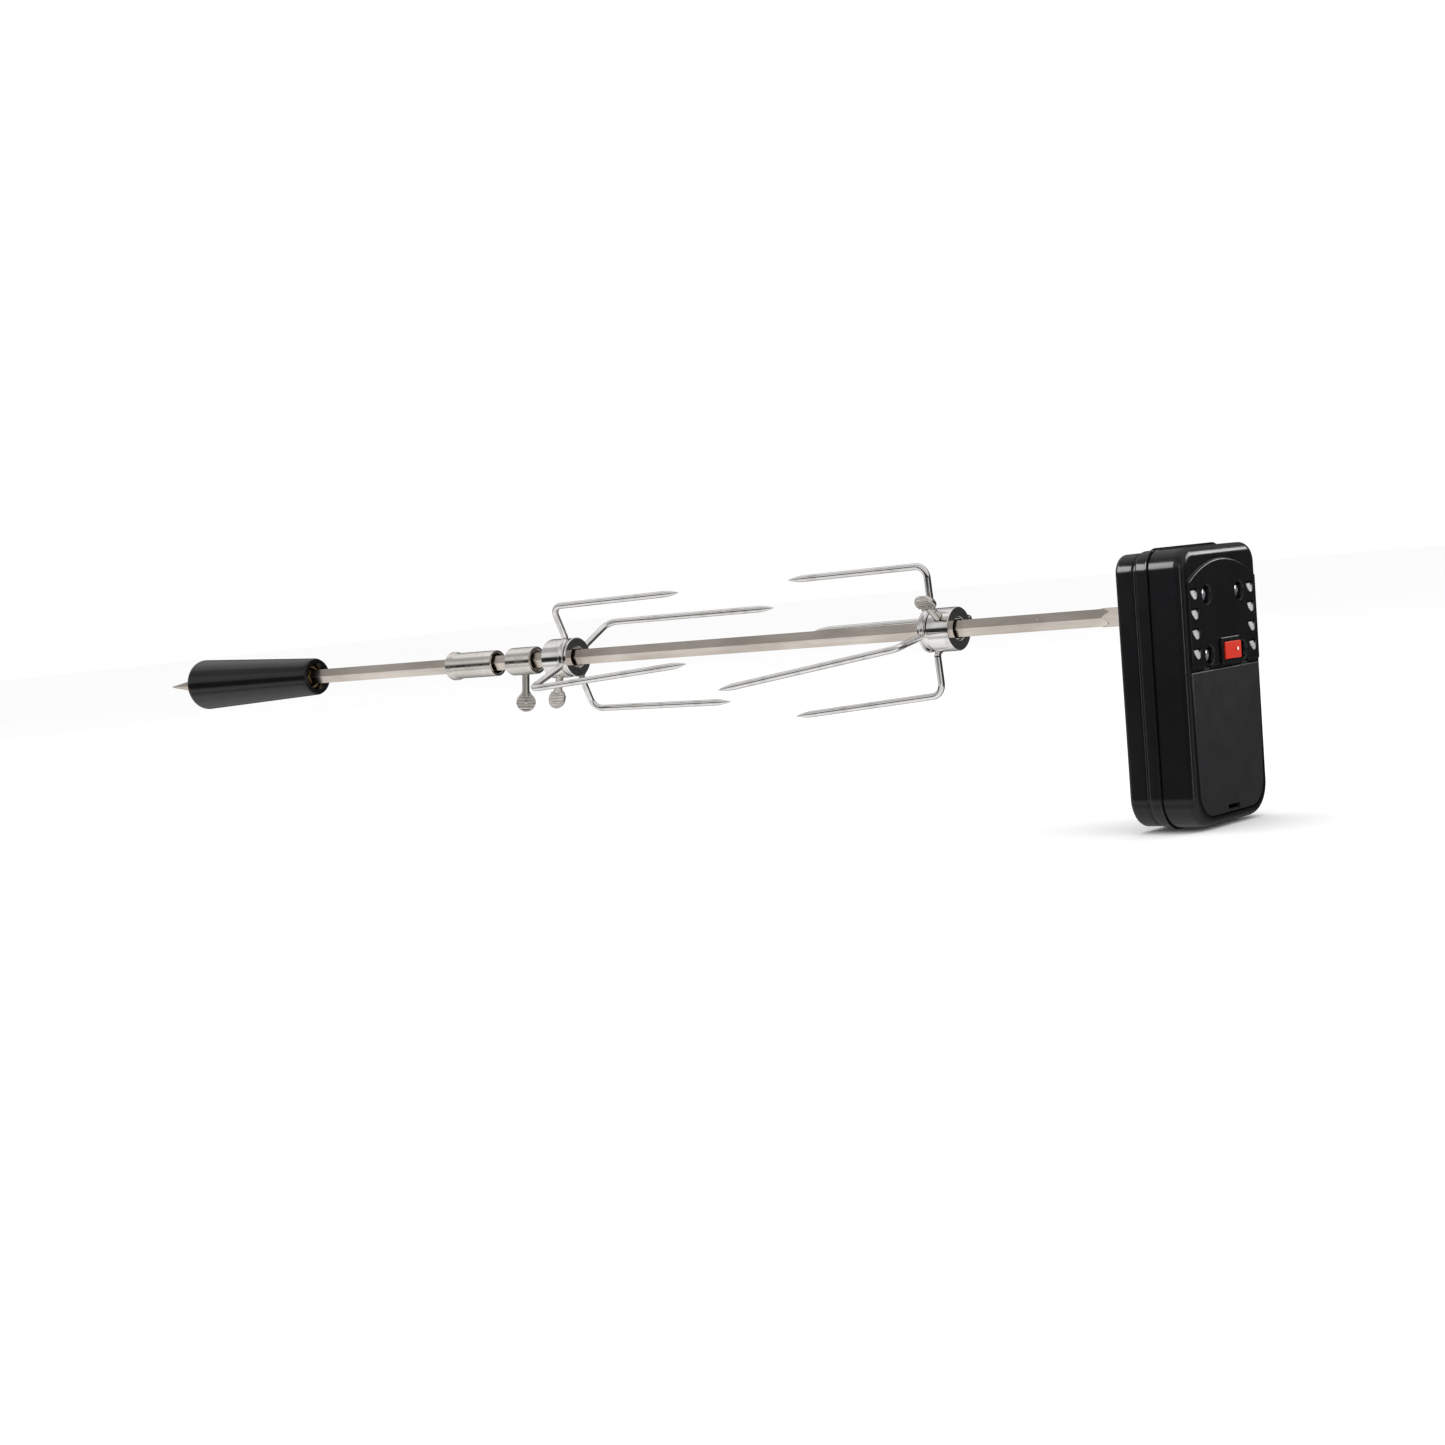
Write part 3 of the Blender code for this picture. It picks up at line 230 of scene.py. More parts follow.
def make_materials():
    """Every finish: two colours, a roughness range, and for metals the grain's stretch and depth."""
    black = (0.004, 0.004, 0.0045)
    return [
        moulded_black("black_plastic", black, (0.006, 0.006, 0.0068), (0.14, 0.2), 0.02),
        moulded_black(
            "door_plastic", (0.012, 0.0125, 0.0135), (0.0145, 0.015, 0.0165), (0.34, 0.42), 0.12
        ),
        gloss_paint("gloss_black", (0.005, 0.005, 0.0055), (0.008, 0.008, 0.009), (0.16, 0.26)),
        gloss_paint("handle_black", black, (0.007, 0.007, 0.008), (0.12, 0.18)),
        gloss_paint("red_plastic", (0.5, 0.02, 0.008), (0.58, 0.03, 0.012), (0.3, 0.4)),
        gloss_paint("white_dot", (0.9, 0.9, 0.88), (0.95, 0.95, 0.93), (0.35, 0.45)),
        drawn_metal(
            "spit_steel", (0.5, 0.44, 0.39), (0.84, 0.77, 0.7), (0.16, 0.26), (0.03, 1, 1), 0.25
        ),
        drawn_metal("steel", (0.4, 0.4, 0.4), (0.62, 0.62, 0.62), (0.25, 0.4), (0.1, 1, 1), 0.2),
        drawn_metal(
            "nickel_steel", (0.6, 0.57, 0.53), (0.88, 0.84, 0.79), (0.13, 0.27), (1, 0.6, 0.6), 0.18
        ),
        plated("chrome", (0.86, 0.845, 0.825), (0.64, 0.62, 0.6), (0.05, 0.13)),
        drawn_metal("screw_steel", (0.5, 0.5, 0.52), (0.85, 0.85, 0.88), (0.28, 0.4), (1, 1, 1), 0.15),
        drawn_metal("brass", (0.5, 0.33, 0.12), (0.85, 0.62, 0.3), (0.18, 0.34), (1, 0.4, 0.4), 0.2),
        gloss_paint("gear_plastic", (0.78, 0.77, 0.72), (0.86, 0.85, 0.81), (0.4, 0.5)),
        gloss_paint("cell_jacket", (0.02, 0.035, 0.09), (0.03, 0.05, 0.12), (0.25, 0.35)),
    ]


MATERIALS = {made.name.removesuffix("_finish"): made for made in make_materials()}
SLOTS = {part["node"]: part["material_slot"] for part in frame["record"]["subparts"]}
BODIES = {
    node: body for body, nodes in frame["record"]["behaviour"]["bodies"].items() for node in nodes
}


def dress_frame():
    """Every carried-over node takes the material that stands for its slot."""
    for name, slot in SLOTS.items():
        node = frame["nodes"][name]
        node.data.materials.clear()
        node.data.materials.append(MATERIALS[slot])
        node.data.shade_smooth()
        node.data.set_sharp_from_angle(angle=radians(SHARP_ANGLE))


# Shape helpers: pieces are drawn round the spit's axis, and then lifted to it


def add_piece(name, bm, home=PIECES):
    """An object from a mesh drawn round the spit's axis."""
    bmesh.ops.recalc_face_normals(bm, faces=bm.faces)
    mesh = bpy.data.meshes.new(name)
    bm.to_mesh(mesh)
    bm.free()
    made = bpy.data.objects.new(name, mesh)
    made.location = SPIT
    home.objects.link(made)
    return made


def add_guide(name, bm):
    """A cutter or an addition for a boolean step; it is never rendered."""
    made = add_piece(name, bm, GUIDES)
    made.hide_render = True
    made.display_type = "WIRE"
    return made


def combine(piece, name, bm, operation):
    """Adds a boolean step to a piece."""
    step = piece.modifiers.new(name, "BOOLEAN")
    step.operation = operation
    step.solver = "EXACT"
    step.object = add_guide(name, bm)


def cut(piece, name, bm):
    combine(piece, name, bm, "DIFFERENCE")


def join(piece, name, bm):
    combine(piece, name, bm, "UNION")


def apply_steps(piece):
    """Bakes the modifiers into the mesh and clears away the guides they used."""
    graph = bpy.context.evaluated_depsgraph_get()
    mesh = bpy.data.meshes.new_from_object(piece.evaluated_get(graph))
    guides = [s.object for s in piece.modifiers if s.type == "BOOLEAN"]
    piece.modifiers.clear()
    piece.data = mesh
    for guide in guides:
        bpy.data.objects.remove(guide, do_unlink=True)


def stand_for(piece, node, soften=None, angle=SHARP_ANGLE):
    """Finishes a piece that takes a CAD node's place: its edges, finish, body and slot."""
    apply_steps(piece)
    if soften:
        rim = piece.modifiers.new("soft_edges", "BEVEL")
        rim.width = soften
        rim.segments = 3
        rim.limit_method = "ANGLE"
        rim.angle_limit = radians(SOFTENED_ANGLE)
        rim.miter_outer = "MITER_ARC"
        rim.use_clamp_overlap = True
        apply_steps(piece)
    piece.data.materials.clear()
    piece.data.materials.append(MATERIALS[SLOTS[node]])
    piece.data.shade_smooth()
    piece.data.set_sharp_from_angle(angle=radians(angle))
    weighted = piece.modifiers.new("weighted", "WEIGHTED_NORMAL")
    weighted.keep_sharp = True
    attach(piece, BODIES[node])
    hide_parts(node)


def box_mesh(low, high):
    """A box between two opposite corners."""
    low, high = Vector(low), Vector(high)
    bm = bmesh.new()
    bmesh.ops.create_cube(bm, size=1)
    bmesh.ops.scale(bm, vec=high - low, verts=bm.verts)
    bmesh.ops.translate(bm, vec=(low + high) / 2, verts=bm.verts)
    return bm


def rod_mesh(start, end, radius, sides, end_radius=None):
    """A cylinder or cone between two points."""
    start, end = Vector(start), Vector(end)
    bm = bmesh.new()
    bmesh.ops.create_cone(
        bm,
        cap_ends=True,
        segments=sides,
        radius1=radius,
        radius2=radius if end_radius is None else end_radius,
        depth=(end - start).length,
    )
    aim = (end - start).to_track_quat("Z", "Y").to_matrix().to_4x4()
    bmesh.ops.transform(bm, matrix=Matrix.Translation((start + end) / 2) @ aim, verts=bm.verts)
    return bm


def prism_mesh(points, start, end):
    """A prism along X from a closed outline of (y, z) points."""
    bm = bmesh.new()
    face = bm.faces.new([bm.verts.new((start, y, z)) for y, z in points])
    made = bmesh.ops.extrude_face_region(bm, geom=[face])
    verts = [g for g in made["geom"] if isinstance(g, bmesh.types.BMVert)]
    bmesh.ops.translate(bm, vec=(end - start, 0, 0), verts=verts)
    return bm


def round_rim(bm, x, radius):
    """Rounds the edges that lie in the plane at x."""
    rim = [e for e in bm.edges if all(abs(v.co.x - x) < 1e-6 for v in e.verts)]
    rim = [e for e in rim if e.calc_face_angle(0) > radians(RIM_ANGLE)]
    bmesh.ops.bevel(bm, geom=rim, offset=radius, segments=6, profile=0.5, affect="EDGES")
    return bm


def radial(x, angle, radius):
    """A point at a distance from the spit's axis; the angle is in degrees, from +Y toward +Z."""
    return Vector((x, radius * cos(radians(angle)), radius * sin(radians(angle))))


def corner_arc(centre, radius, start, end, steps=SHELL_STEPS):
    """Points on an arc from one angle to another, in degrees."""
    angles = [radians(start + (end - start) * i / steps) for i in range(steps + 1)]
    return [(centre[0] + radius * cos(a), centre[1] + radius * sin(a)) for a in angles]


def turned_mesh(profile, sides=ROUND_STEPS):
    """A ring turned about the X axis from a closed line of (x, radius) points."""
    bm = bmesh.new()
    rings = []
    for at, radius in profile:
        angles = [2 * pi * i / sides for i in range(sides)]
        rings.append([bm.verts.new((at, radius * cos(a), radius * sin(a))) for a in angles])
    for first, second in zip(rings, rings[1:] + rings[:1]):
        for i in range(sides):
            j = (i + 1) % sides
            bm.faces.new((first[i], first[j], second[j], second[i]))
    return bm


def disc_mesh(start, end, radius, rounding, sides):
    """A disc about the X axis with rounded rims, turned round a pinhole too fine to see."""
    pinhole = 0.02 * MM
    line = [(start, pinhole), (end, pinhole), (end, radius), (start, radius)]
    return turned_mesh(fillet(line, rounding), sides)


def fillet(profile, radius, steps=4):
    """The same closed (x, radius) line with its corners rounded."""
    points = [Vector(p) for p in profile]
    rounded = []
    for before, corner, after in zip(points[-1:] + points[:-1], points, points[1:] + points[:1]):
        near = min(radius, (before - corner).length * 0.45, (after - corner).length * 0.45)
        start = corner + (before - corner).normalized() * near
        end = corner + (after - corner).normalized() * near
        for i in range(steps + 1):
            t = i / steps
            rounded.append((1 - t) ** 2 * start + 2 * t * (1 - t) * corner + t * t * end)
    return [tuple(p) for p in rounded]


# Housing dimensions, from the spit's axis and the rear face


def span(node):
    """A CAD node's box measured from the spit's axis."""
    low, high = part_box(node)
    return low - SPIT, high - SPIT


REAR_HIGH = span("rear_shell")[1]
FRONT_LOW, FRONT_HIGH = span("front_shell")
DOOR_LOW, DOOR_HIGH = span("battery_door")
HALF_WIDTH = FRONT_HIGH.y
TOP, BOTTOM = FRONT_HIGH.z, FRONT_LOW.z
TOP_RADIUS = 11 * MM
BOTTOM_RADIUS = 18 * MM
DEPTH = DOOR_HIGH.x
PANEL_X = FRONT_HIGH.x
BACK_STEP = 12 * MM
STEP_IN = 0.9 * MM
RIM_OUT = REAR_HIGH.y - HALF_WIDTH
RIM_LENGTH = 1.3 * MM
WALL = 2.2 * MM
FRONT_ROUND = 5.4 * MM
REAR_ROUND = 3.2 * MM
EDGE = 0.25 * MM
# The groove at the step, in mm: (distance past the step, height over the housing's outline)
GROOVE_LINE = ((-1.6, -0.9), (-0.8, -1.15), (-0.2, -1.7), (0.3, -1.7), (0.8, -0.95), (1.5, -0.3), (2.4, 0))
BOSS_RADIUS = 3 * MM
SCREW_HOLE = 1.8 * MM
PILOT_START = 10 * MM
SPIT_HOLE = 9.8 * MM
PANEL_HALF = 38 * MM
PANEL_BOTTOM = -29 * MM
PANEL_SHOULDER = 16 * MM
PANEL_CROWN = 27 * MM
PANEL_EDGE = 0.95 * MM
WELL_RADIUS = 4.8 * MM
WELL_WALL = 0.8 * MM
WELL_LEAD_IN = 0.7 * MM
WELL_FLOOR = 38 * MM
DROP_Y = 31.5 * MM
DROP_TOP = 12.8 * MM
DROP_PITCH = 10.4 * MM
DROP_ROWS = 4
DROP_WIDTH = 10.6 * MM
DROP_HEIGHT = 5.8 * MM
DROP_DEPTH = 1.92 * MM
DROP_TAPER = 1.15
DOOR_TOP = -30.8 * MM
DOOR_BOTTOM = DOOR_LOW.z
DOOR_HALF_TOP = DOOR_HIGH.y
DOOR_HALF_LOW = 36.6 * MM
DOOR_CORNER = 15 * MM
DOOR_EDGE = 1.1 * MM
DOOR_GAP = 0.4 * MM
TAB_Y = 21.5 * MM
TAB_WIDTH = 6 * MM
LATCH_HALF = 6.5 * MM
LATCH_Z = -105.5 * MM
LATCH_SLIT = 2.4 * MM
TONGUE_Y = 5.2 * MM
TONGUE_GROOVE = 0.6 * MM
TONGUE_DEPTH = 0.7 * MM
HEAD_RADIUS = 3.8 * MM
SHANK_RADIUS = 1.5 * MM
PINHOLE = 0.05 * MM
CROSS_LENGTH = 4.4 * MM
CROSS_WIDTH = 0.95 * MM
CROSS_DEPTH = 1.1 * MM
SWITCH_LOW, SWITCH_HIGH = span("switch_body")
SWITCH_MIDDLE = (SWITCH_LOW + SWITCH_HIGH) / 2
SCREWS = [sum(span(f"housing_screw_{n}"), Vector()) / 2 for n in range(1, 5)]


def switch_box(half_y, half_z, start, end):
    """A box centred on the switch, from one depth to another."""
    low = (start, SWITCH_MIDDLE.y - half_y, SWITCH_MIDDLE.z - half_z)
    high = (end, SWITCH_MIDDLE.y + half_y, SWITCH_MIDDLE.z + half_z)
    return box_mesh(low, high)


def housing_outline(grow=0.0):
    """The housing seen from the front: small top corners and larger bottom ones."""
    half, top, bottom = HALF_WIDTH + grow, TOP + grow, BOTTOM - grow
    upper, lower = TOP_RADIUS + grow, BOTTOM_RADIUS + grow
    return (
        corner_arc((half - upper, top - upper), upper, 0, 90)
        + corner_arc((-half + upper, top - upper), upper, 90, 180)
        + corner_arc((-half + lower, bottom + lower), lower, 180, 270)
        + corner_arc((half - lower, bottom + lower), lower, 270, 360)
    )


def lofted_shell(sections):
    """A closed body through the housing's outline at each (x, grow)."""
    bm = bmesh.new()
    rings = [[bm.verts.new((x, y, z)) for y, z in housing_outline(grow)] for x, grow in sections]
    count = len(rings[0])
    for first, second in zip(rings, rings[1:]):
        for i in range(count):
            j = (i + 1) % count
            bm.faces.new((first[i], first[j], second[j], second[i]))
    bm.faces.new(rings[0])
    bm.faces.new(rings[-1])
    return bm


def quarter(x, grow, radius, ahead, steps=8):
    """Sections that round an edge from the end face on to the side; ahead is +1 or -1 along X."""
    angles = [radians(90 * i / steps) for i in range(steps + 1)]
    return [(x + ahead * radius * (1 - cos(a)), grow - radius * (1 - sin(a))) for a in angles]


def make_rear_skin():
    """The rear shell: a stepped tub with a shallow groove and a raised rim at the seam."""
    back = REAR_HIGH.x
    sections = quarter(0, -STEP_IN, REAR_ROUND, 1)
    sections += [(BACK_STEP + x * MM, grow * MM) for x, grow in GROOVE_LINE]
    rim = back - RIM_LENGTH
    sections += [(rim - 0.3 * MM, 0), (rim, 0.35 * MM), (rim + 0.3 * MM, RIM_OUT - 0.1 * MM)]
    sections += [(rim + 0.55 * MM, RIM_OUT), (back - EDGE, RIM_OUT), (back, RIM_OUT - EDGE)]
    sections += [(back, -WALL - STEP_IN), (WALL, -WALL - STEP_IN)]
    skin = add_piece("rear_shell_skin", lofted_shell(sections))
    cut(skin, "spit_hole", rod_mesh((-WALL, 0, 0), (2 * WALL, 0, 0), SPIT_HOLE, ROUND_STEPS))
    for place in SCREWS:
        y, z = place.y, place.z
        join(skin, "boss", rod_mesh((WALL / 2, y, z), (back - MM, y, z), BOSS_RADIUS, 32))
        cut(skin, "pilot", rod_mesh((PILOT_START, y, z), (back, y, z), SCREW_HOLE, 24))
    stand_for(skin, "rear_shell")


def arch_outline():
    """The raised panel: straight sides under a low arch, through its shoulders and crown."""
    rise = PANEL_CROWN - PANEL_SHOULDER
    radius = (PANEL_HALF**2 + rise**2) / (2 * rise)
    half_angle = atan2(PANEL_HALF, radius - rise) * 180 / pi
    arch = corner_arc((0, PANEL_CROWN - radius), radius, 90 - half_angle, 90 + half_angle, ARCH_STEPS)
    return [(PANEL_HALF, PANEL_BOTTOM)] + arch + [(-PANEL_HALF, PANEL_BOTTOM)]


def door_outline(grow=0.0):
    """The door: square at its top, a little narrower and well rounded at its bottom."""
    lower = DOOR_CORNER + grow
    half, bottom = DOOR_HALF_LOW + grow, DOOR_BOTTOM - grow
    top_half, top = DOOR_HALF_TOP + grow, DOOR_TOP + grow
    return (
        [(top_half, top), (-top_half, top)]
        + corner_arc((-half + lower, bottom + lower), lower, 180, 270)
        + corner_arc((half - lower, bottom + lower), lower, 270, 360)
    )


def scoop_mesh(y, top, steps=12):
    """A drop that is deepest along its flat top, with a floor that slopes out to its point."""
    half = DROP_WIDTH / 2
    turns = [pi * i / steps for i in range(steps + 1)]
    edge = [(y + half * cos(a), top - DROP_HEIGHT * sin(a) ** DROP_TAPER) for a in turns]
    bm = bmesh.new()
    for out in (PANEL_X - 0.2 * MM, PANEL_X + MM):
        for across, height in edge:
            bm.verts.new((out, across, height))
    for side in (-1, 1):
        bm.verts.new((PANEL_X - DROP_DEPTH, y + side * DROP_WIDTH * 0.44, top - EDGE))
    hull = bmesh.ops.convex_hull(bm, input=bm.verts)
    spare = hull["geom_interior"] + hull["geom_unused"]
    spare_verts = [g for g in spare if isinstance(g, bmesh.types.BMVert)]
    bmesh.ops.delete(bm, geom=spare_verts, context="VERTS")
    return bm


def make_front_skin():
    """The front shell: a rounded tub with its arched panel, wells, drops and openings."""
    front = FRONT_LOW.x
    outside = [(front, -EDGE), (front + EDGE, 0)]
    outside += quarter(DEPTH, 0, FRONT_ROUND, -1)[::-1]
    skin = add_piece("front_shell_skin", lofted_shell(outside))
    cut(skin, "hollow", lofted_shell([(front - WALL, -WALL), (DEPTH - WALL, -WALL)]))
    panel = prism_mesh(arch_outline(), DEPTH - WALL / 2, PANEL_X)
    join(skin, "panel", round_rim(panel, PANEL_X, PANEL_EDGE))
    wide = WELL_RADIUS + WELL_WALL
    for place in SCREWS:
        y, z = place.y, place.z
        join(skin, "well", rod_mesh((WELL_FLOOR - WALL, y, z), (DEPTH, y, z), wide, 40))
        cut(skin, "bore", rod_mesh((WELL_FLOOR, y, z), (PANEL_X + MM, y, z), WELL_RADIUS, 48))
        mouth = rod_mesh((PANEL_X - WELL_LEAD_IN, y, z), (PANEL_X + 0.1 * MM, y, z), WELL_RADIUS, 48, wide)
        cut(skin, "lead_in", mouth)
        shank = rod_mesh((WELL_FLOOR - 2 * WALL, y, z), (WELL_FLOOR + MM, y, z), SCREW_HOLE, 24)
        cut(skin, "shank", shank)
    for side in (-1, 1):
        for row in range(DROP_ROWS):
            cut(skin, "drop", scoop_mesh(side * DROP_Y, DROP_TOP - row * DROP_PITCH))
    reach = (DEPTH - 2 * WALL, PANEL_X + WALL)
    cut(skin, "door_opening", prism_mesh(door_outline(DOOR_GAP), *reach))
    for side in (-1, 1):
        low = (reach[0], side * TAB_Y - TAB_WIDTH / 2 - GAP, DOOR_TOP - MM)
        high = (reach[1], side * TAB_Y + TAB_WIDTH / 2 + GAP, DOOR_HIGH.z + 2 * GAP)
        cut(skin, "tab_notch", box_mesh(low, high))
    cut(skin, "switch_opening", switch_box(9.8 * MM, 6.8 * MM, *reach))
    stand_for(skin, "front_shell")


def make_door_skin():
    """The battery door, with softened edges, two hinge tabs and a springy latch tongue."""
    inner = DOOR_LOW.x
    slab = round_rim(prism_mesh(door_outline(), inner, DEPTH), DEPTH, DOOR_EDGE)
    door = add_piece("battery_door_skin", slab)
    for side in (-1, 1):
        low = (inner, side * TAB_Y - TAB_WIDTH / 2, DOOR_TOP - MM)
        high = (DEPTH - EDGE, side * TAB_Y + TAB_WIDTH / 2, DOOR_HIGH.z)
        join(door, "tab", box_mesh(low, high))
    reach = (inner - MM, DEPTH + MM)
    low = (reach[0], -LATCH_HALF, LATCH_Z - LATCH_SLIT / 2)
    cut(door, "slit", box_mesh(low, (reach[1], LATCH_HALF, LATCH_Z + LATCH_SLIT / 2)))
    for side in (-1, 1):
        low = (DEPTH - TONGUE_DEPTH, side * TONGUE_Y - TONGUE_GROOVE / 2, DOOR_BOTTOM - MM)
        high = (reach[1], side * TONGUE_Y + TONGUE_GROOVE / 2, LATCH_Z)
        cut(door, "tongue_edge", box_mesh(low, high))
    stand_for(door, "battery_door")


def make_screw_heads():
    """Domed heads with a cross recess, at the bottom of their wells."""
    seat = WELL_FLOOR + GAP
    for number, place in enumerate(SCREWS, 1):
        low, high = span(f"housing_screw_{number}")
        turns = [radians(a) for a in (8, 25, 42, 58, 72, 84, 90)]
        profile = [(high.x - (high.x - seat) * (1 - cos(a)), HEAD_RADIUS * sin(a)) for a in turns]
        profile += [(seat, HEAD_RADIUS), (seat, SHANK_RADIUS), (low.x, SHANK_RADIUS)]
        profile += [(low.x, PINHOLE), (high.x, PINHOLE)]
        bm = turned_mesh(profile, 48)
        bmesh.ops.translate(bm, vec=(0, place.y, place.z), verts=bm.verts)
        screw = add_piece(f"housing_screw_skin_{number}", bm)
        for wide, tall in ((CROSS_LENGTH, CROSS_WIDTH), (CROSS_WIDTH, CROSS_LENGTH)):
            start = (high.x - CROSS_DEPTH, place.y - wide / 2, place.z - tall / 2)
            end = (high.x + MM, place.y + wide / 2, place.z + tall / 2)
            cut(screw, "cross", box_mesh(start, end))
        stand_for(screw, f"housing_screw_{number}")


# Switch, from the spit's axis; the key is drawn in mm round its own pivot

BEZEL_EDGE = 0.5 * MM
PIVOT_X = 39.5 * MM
REST_TILT = -8
KEY_HALF = 7.2
KEY_FACE = 4.35
KEY_RISE = 1.45
KEY_BACK = ((-3.5, -3), (2, -6.6))
KEY_WIDTH = 9.2 * MM
KEY_EDGE = 0.45 * MM
DOT_RADIUS = 0.95 * MM
DOT_HEIGHT = 0.35 * MM
DOT_PLACE = (5.15 * MM, 4.6 * MM, 0.3 * MM)
DOT_TILT = 18


def make_switch_skin():
    """The switch's block and its bezel, softened, with the key's cavity."""
    low, high = SWITCH_LOW, SWITCH_HIGH
    seat = PANEL_X + GAP / 2
    bezel = box_mesh((seat, low.y, low.z), high)
    edges = list(bezel.edges)
    bmesh.ops.bevel(bezel, geom=edges, offset=BEZEL_EDGE, segments=4, profile=0.5, affect="EDGES")
    body = add_piece("switch_body_skin", bezel)
    join(body, "block", switch_box(9.5 * MM, 6.5 * MM, low.x, seat + 0.6 * MM))
    cut(body, "cavity", switch_box(8.2 * MM, 5 * MM, low.x + 2 * MM, high.x + MM))
    stand_for(body, "switch_body")


def make_rocker_skin():
    """The red key, dished in two slopes, with its white dot."""
    pivot = Vector((PIVOT_X, SWITCH_MIDDLE.y, SWITCH_MIDDLE.z))
    across = [KEY_HALF * i / 10 for i in range(-10, 11)]
    face = [(KEY_FACE + KEY_RISE * (abs(y) / KEY_HALF) ** 1.5, y) for y in across]
    shape = list(KEY_BACK) + face + [(x, -y) for x, y in reversed(KEY_BACK)]
    bm = bmesh.new()
    flat = bm.faces.new([bm.verts.new((x * MM, y * MM, -KEY_WIDTH / 2)) for x, y in shape])
    made = bmesh.ops.extrude_face_region(bm, geom=[flat])
    verts = [g for g in made["geom"] if isinstance(g, bmesh.types.BMVert)]
    bmesh.ops.translate(bm, vec=(0, 0, KEY_WIDTH), verts=verts)
    sharp = [e for e in bm.edges if e.calc_face_angle(0) > radians(30)]
    bmesh.ops.bevel(bm, geom=sharp, offset=KEY_EDGE, segments=4, profile=0.5, affect="EDGES")
    tilt = Matrix.Translation(pivot) @ Matrix.Rotation(radians(REST_TILT), 4, "Z")
    bmesh.ops.transform(bm, matrix=tilt, verts=bm.verts)
    stand_for(add_piece("switch_rocker_skin", bm), "switch_rocker")
    disc = disc_mesh(0, DOT_HEIGHT, DOT_RADIUS, 0.12 * MM, 32)
    place = tilt @ Matrix.Translation(DOT_PLACE) @ Matrix.Rotation(radians(DOT_TILT), 4, "Z")
    bmesh.ops.transform(disc, matrix=place, verts=disc.verts)
    dot = add_piece("switch_dot", disc)
    dot.data.materials.append(MATERIALS["white_dot"])
    dot.data.shade_smooth()
    dot.data.set_sharp_from_angle(angle=radians(SOFTENED_ANGLE))
    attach(dot, "switch_rocker")


# Spit and what slides on it

FLAT = 4.76 * MM
PUNCH_X = -71 * MM
PUNCH_RADIUS = 1.3 * MM
PUNCH_DEPTH = 0.5 * MM
SLIDE_BORE = 6.6 * MM
GRIP_BORE = 6.3 * MM
GRIP_MOUTH = 8.4 * MM
GRIP_RECESS = 9 * MM
GRIP_NARROW = 12.8 * MM
GRIP_SHOULDER = 1.8 * MM
GRIP_DOME = 5 * MM
GRIP_DOME_DROP = 4.4 * MM
BUSHING_BODY = 8.5 * MM
BUSHING_FLANGE = 5 * MM
SCREW_CLEARANCE = 2.7 * MM
SCREW_LEAD_IN = 3.9 * MM
PADDLE_RADIUS = 6.3 * MM
PADDLE_HALF = 1.3 * MM
PADDLE_CENTRE = 27 * MM
STEM_RADIUS = 2.4 * MM
RIBS = 5
RIB_PITCH = 1.95 * MM
RIB_RADIUS = 0.6 * MM
RIB_OUT = 0.8 * MM


def make_spit_skin():
    """The hexagonal bar, its point and square tang, with its edges just broken and a punch mark."""
    node = frame["nodes"]["spit_rod"]
    bm = bmesh.new()
    bm.from_mesh(node.data)
    bmesh.ops.remove_doubles(bm, verts=bm.verts, dist=0.01 * MM)
    bmesh.ops.dissolve_limit(bm, angle_limit=radians(1), verts=bm.verts, edges=bm.edges)
    bmesh.ops.translate(bm, vec=-SPIT, verts=bm.verts)
    rod = add_piece("spit_rod_skin", bm)
    punch = bmesh.new()
    bmesh.ops.create_uvsphere(punch, u_segments=24, v_segments=16, radius=PUNCH_RADIUS)
    spot = radial(PUNCH_X, 150, FLAT + PUNCH_RADIUS - PUNCH_DEPTH)
    bmesh.ops.translate(punch, vec=spot, verts=punch.verts)
    cut(rod, "punch_mark", punch)
    stand_for(rod, "spit_rod", soften=0.35 * MM, angle=50)


def ring_profile(node, inner, rounding):
    """A plain ring's line as long and as wide as the CAD node, with its corners rounded."""
    low, high = span(node)
    outer = high.y
    return fillet([(high.x, outer), (low.x, outer), (low.x, inner), (high.x, inner)], rounding)


def make_handle_skins():
    """The tapered grip with a soft shoulder at each end, and the brass ferrule in its mouth."""
    low, high = span("handle_grip")
    back, front, wide = low.x, high.x, high.y
    floor = front - GRIP_RECESS
    shoulder, dome = front - GRIP_SHOULDER, back + GRIP_DOME
    line = [(front, GRIP_NARROW - 1.6 * MM), (front - 0.5 * MM, GRIP_NARROW - 0.5 * MM)]
    line += [(shoulder, GRIP_NARROW)]
    for i in range(1, 25):
        t = i / 24
        line.append((shoulder + (dome - shoulder) * t, GRIP_NARROW + (wide - GRIP_NARROW) * t))
    for i in range(1, 11):
        a = radians(9 * i)
        line.append((back + GRIP_DOME * (1 - sin(a)), wide - GRIP_DOME_DROP * (1 - cos(a))))
    line += [(back + 0.1 * MM, GRIP_BORE + 1.2 * MM), (back + 1 * MM, GRIP_BORE), (floor, GRIP_BORE)]
    line += [(floor, GRIP_MOUTH), (front - 1.2 * MM, GRIP_MOUTH), (front - 0.2 * MM, GRIP_MOUTH + 0.9 * MM)]
    stand_for(add_piece("handle_grip_skin", turned_mesh(line)), "handle_grip")
    ring = ring_profile("handle_ferrule", GRIP_BORE, 0.5 * MM)
    stand_for(add_piece("handle_ferrule_skin", turned_mesh(ring, 64)), "handle_ferrule")


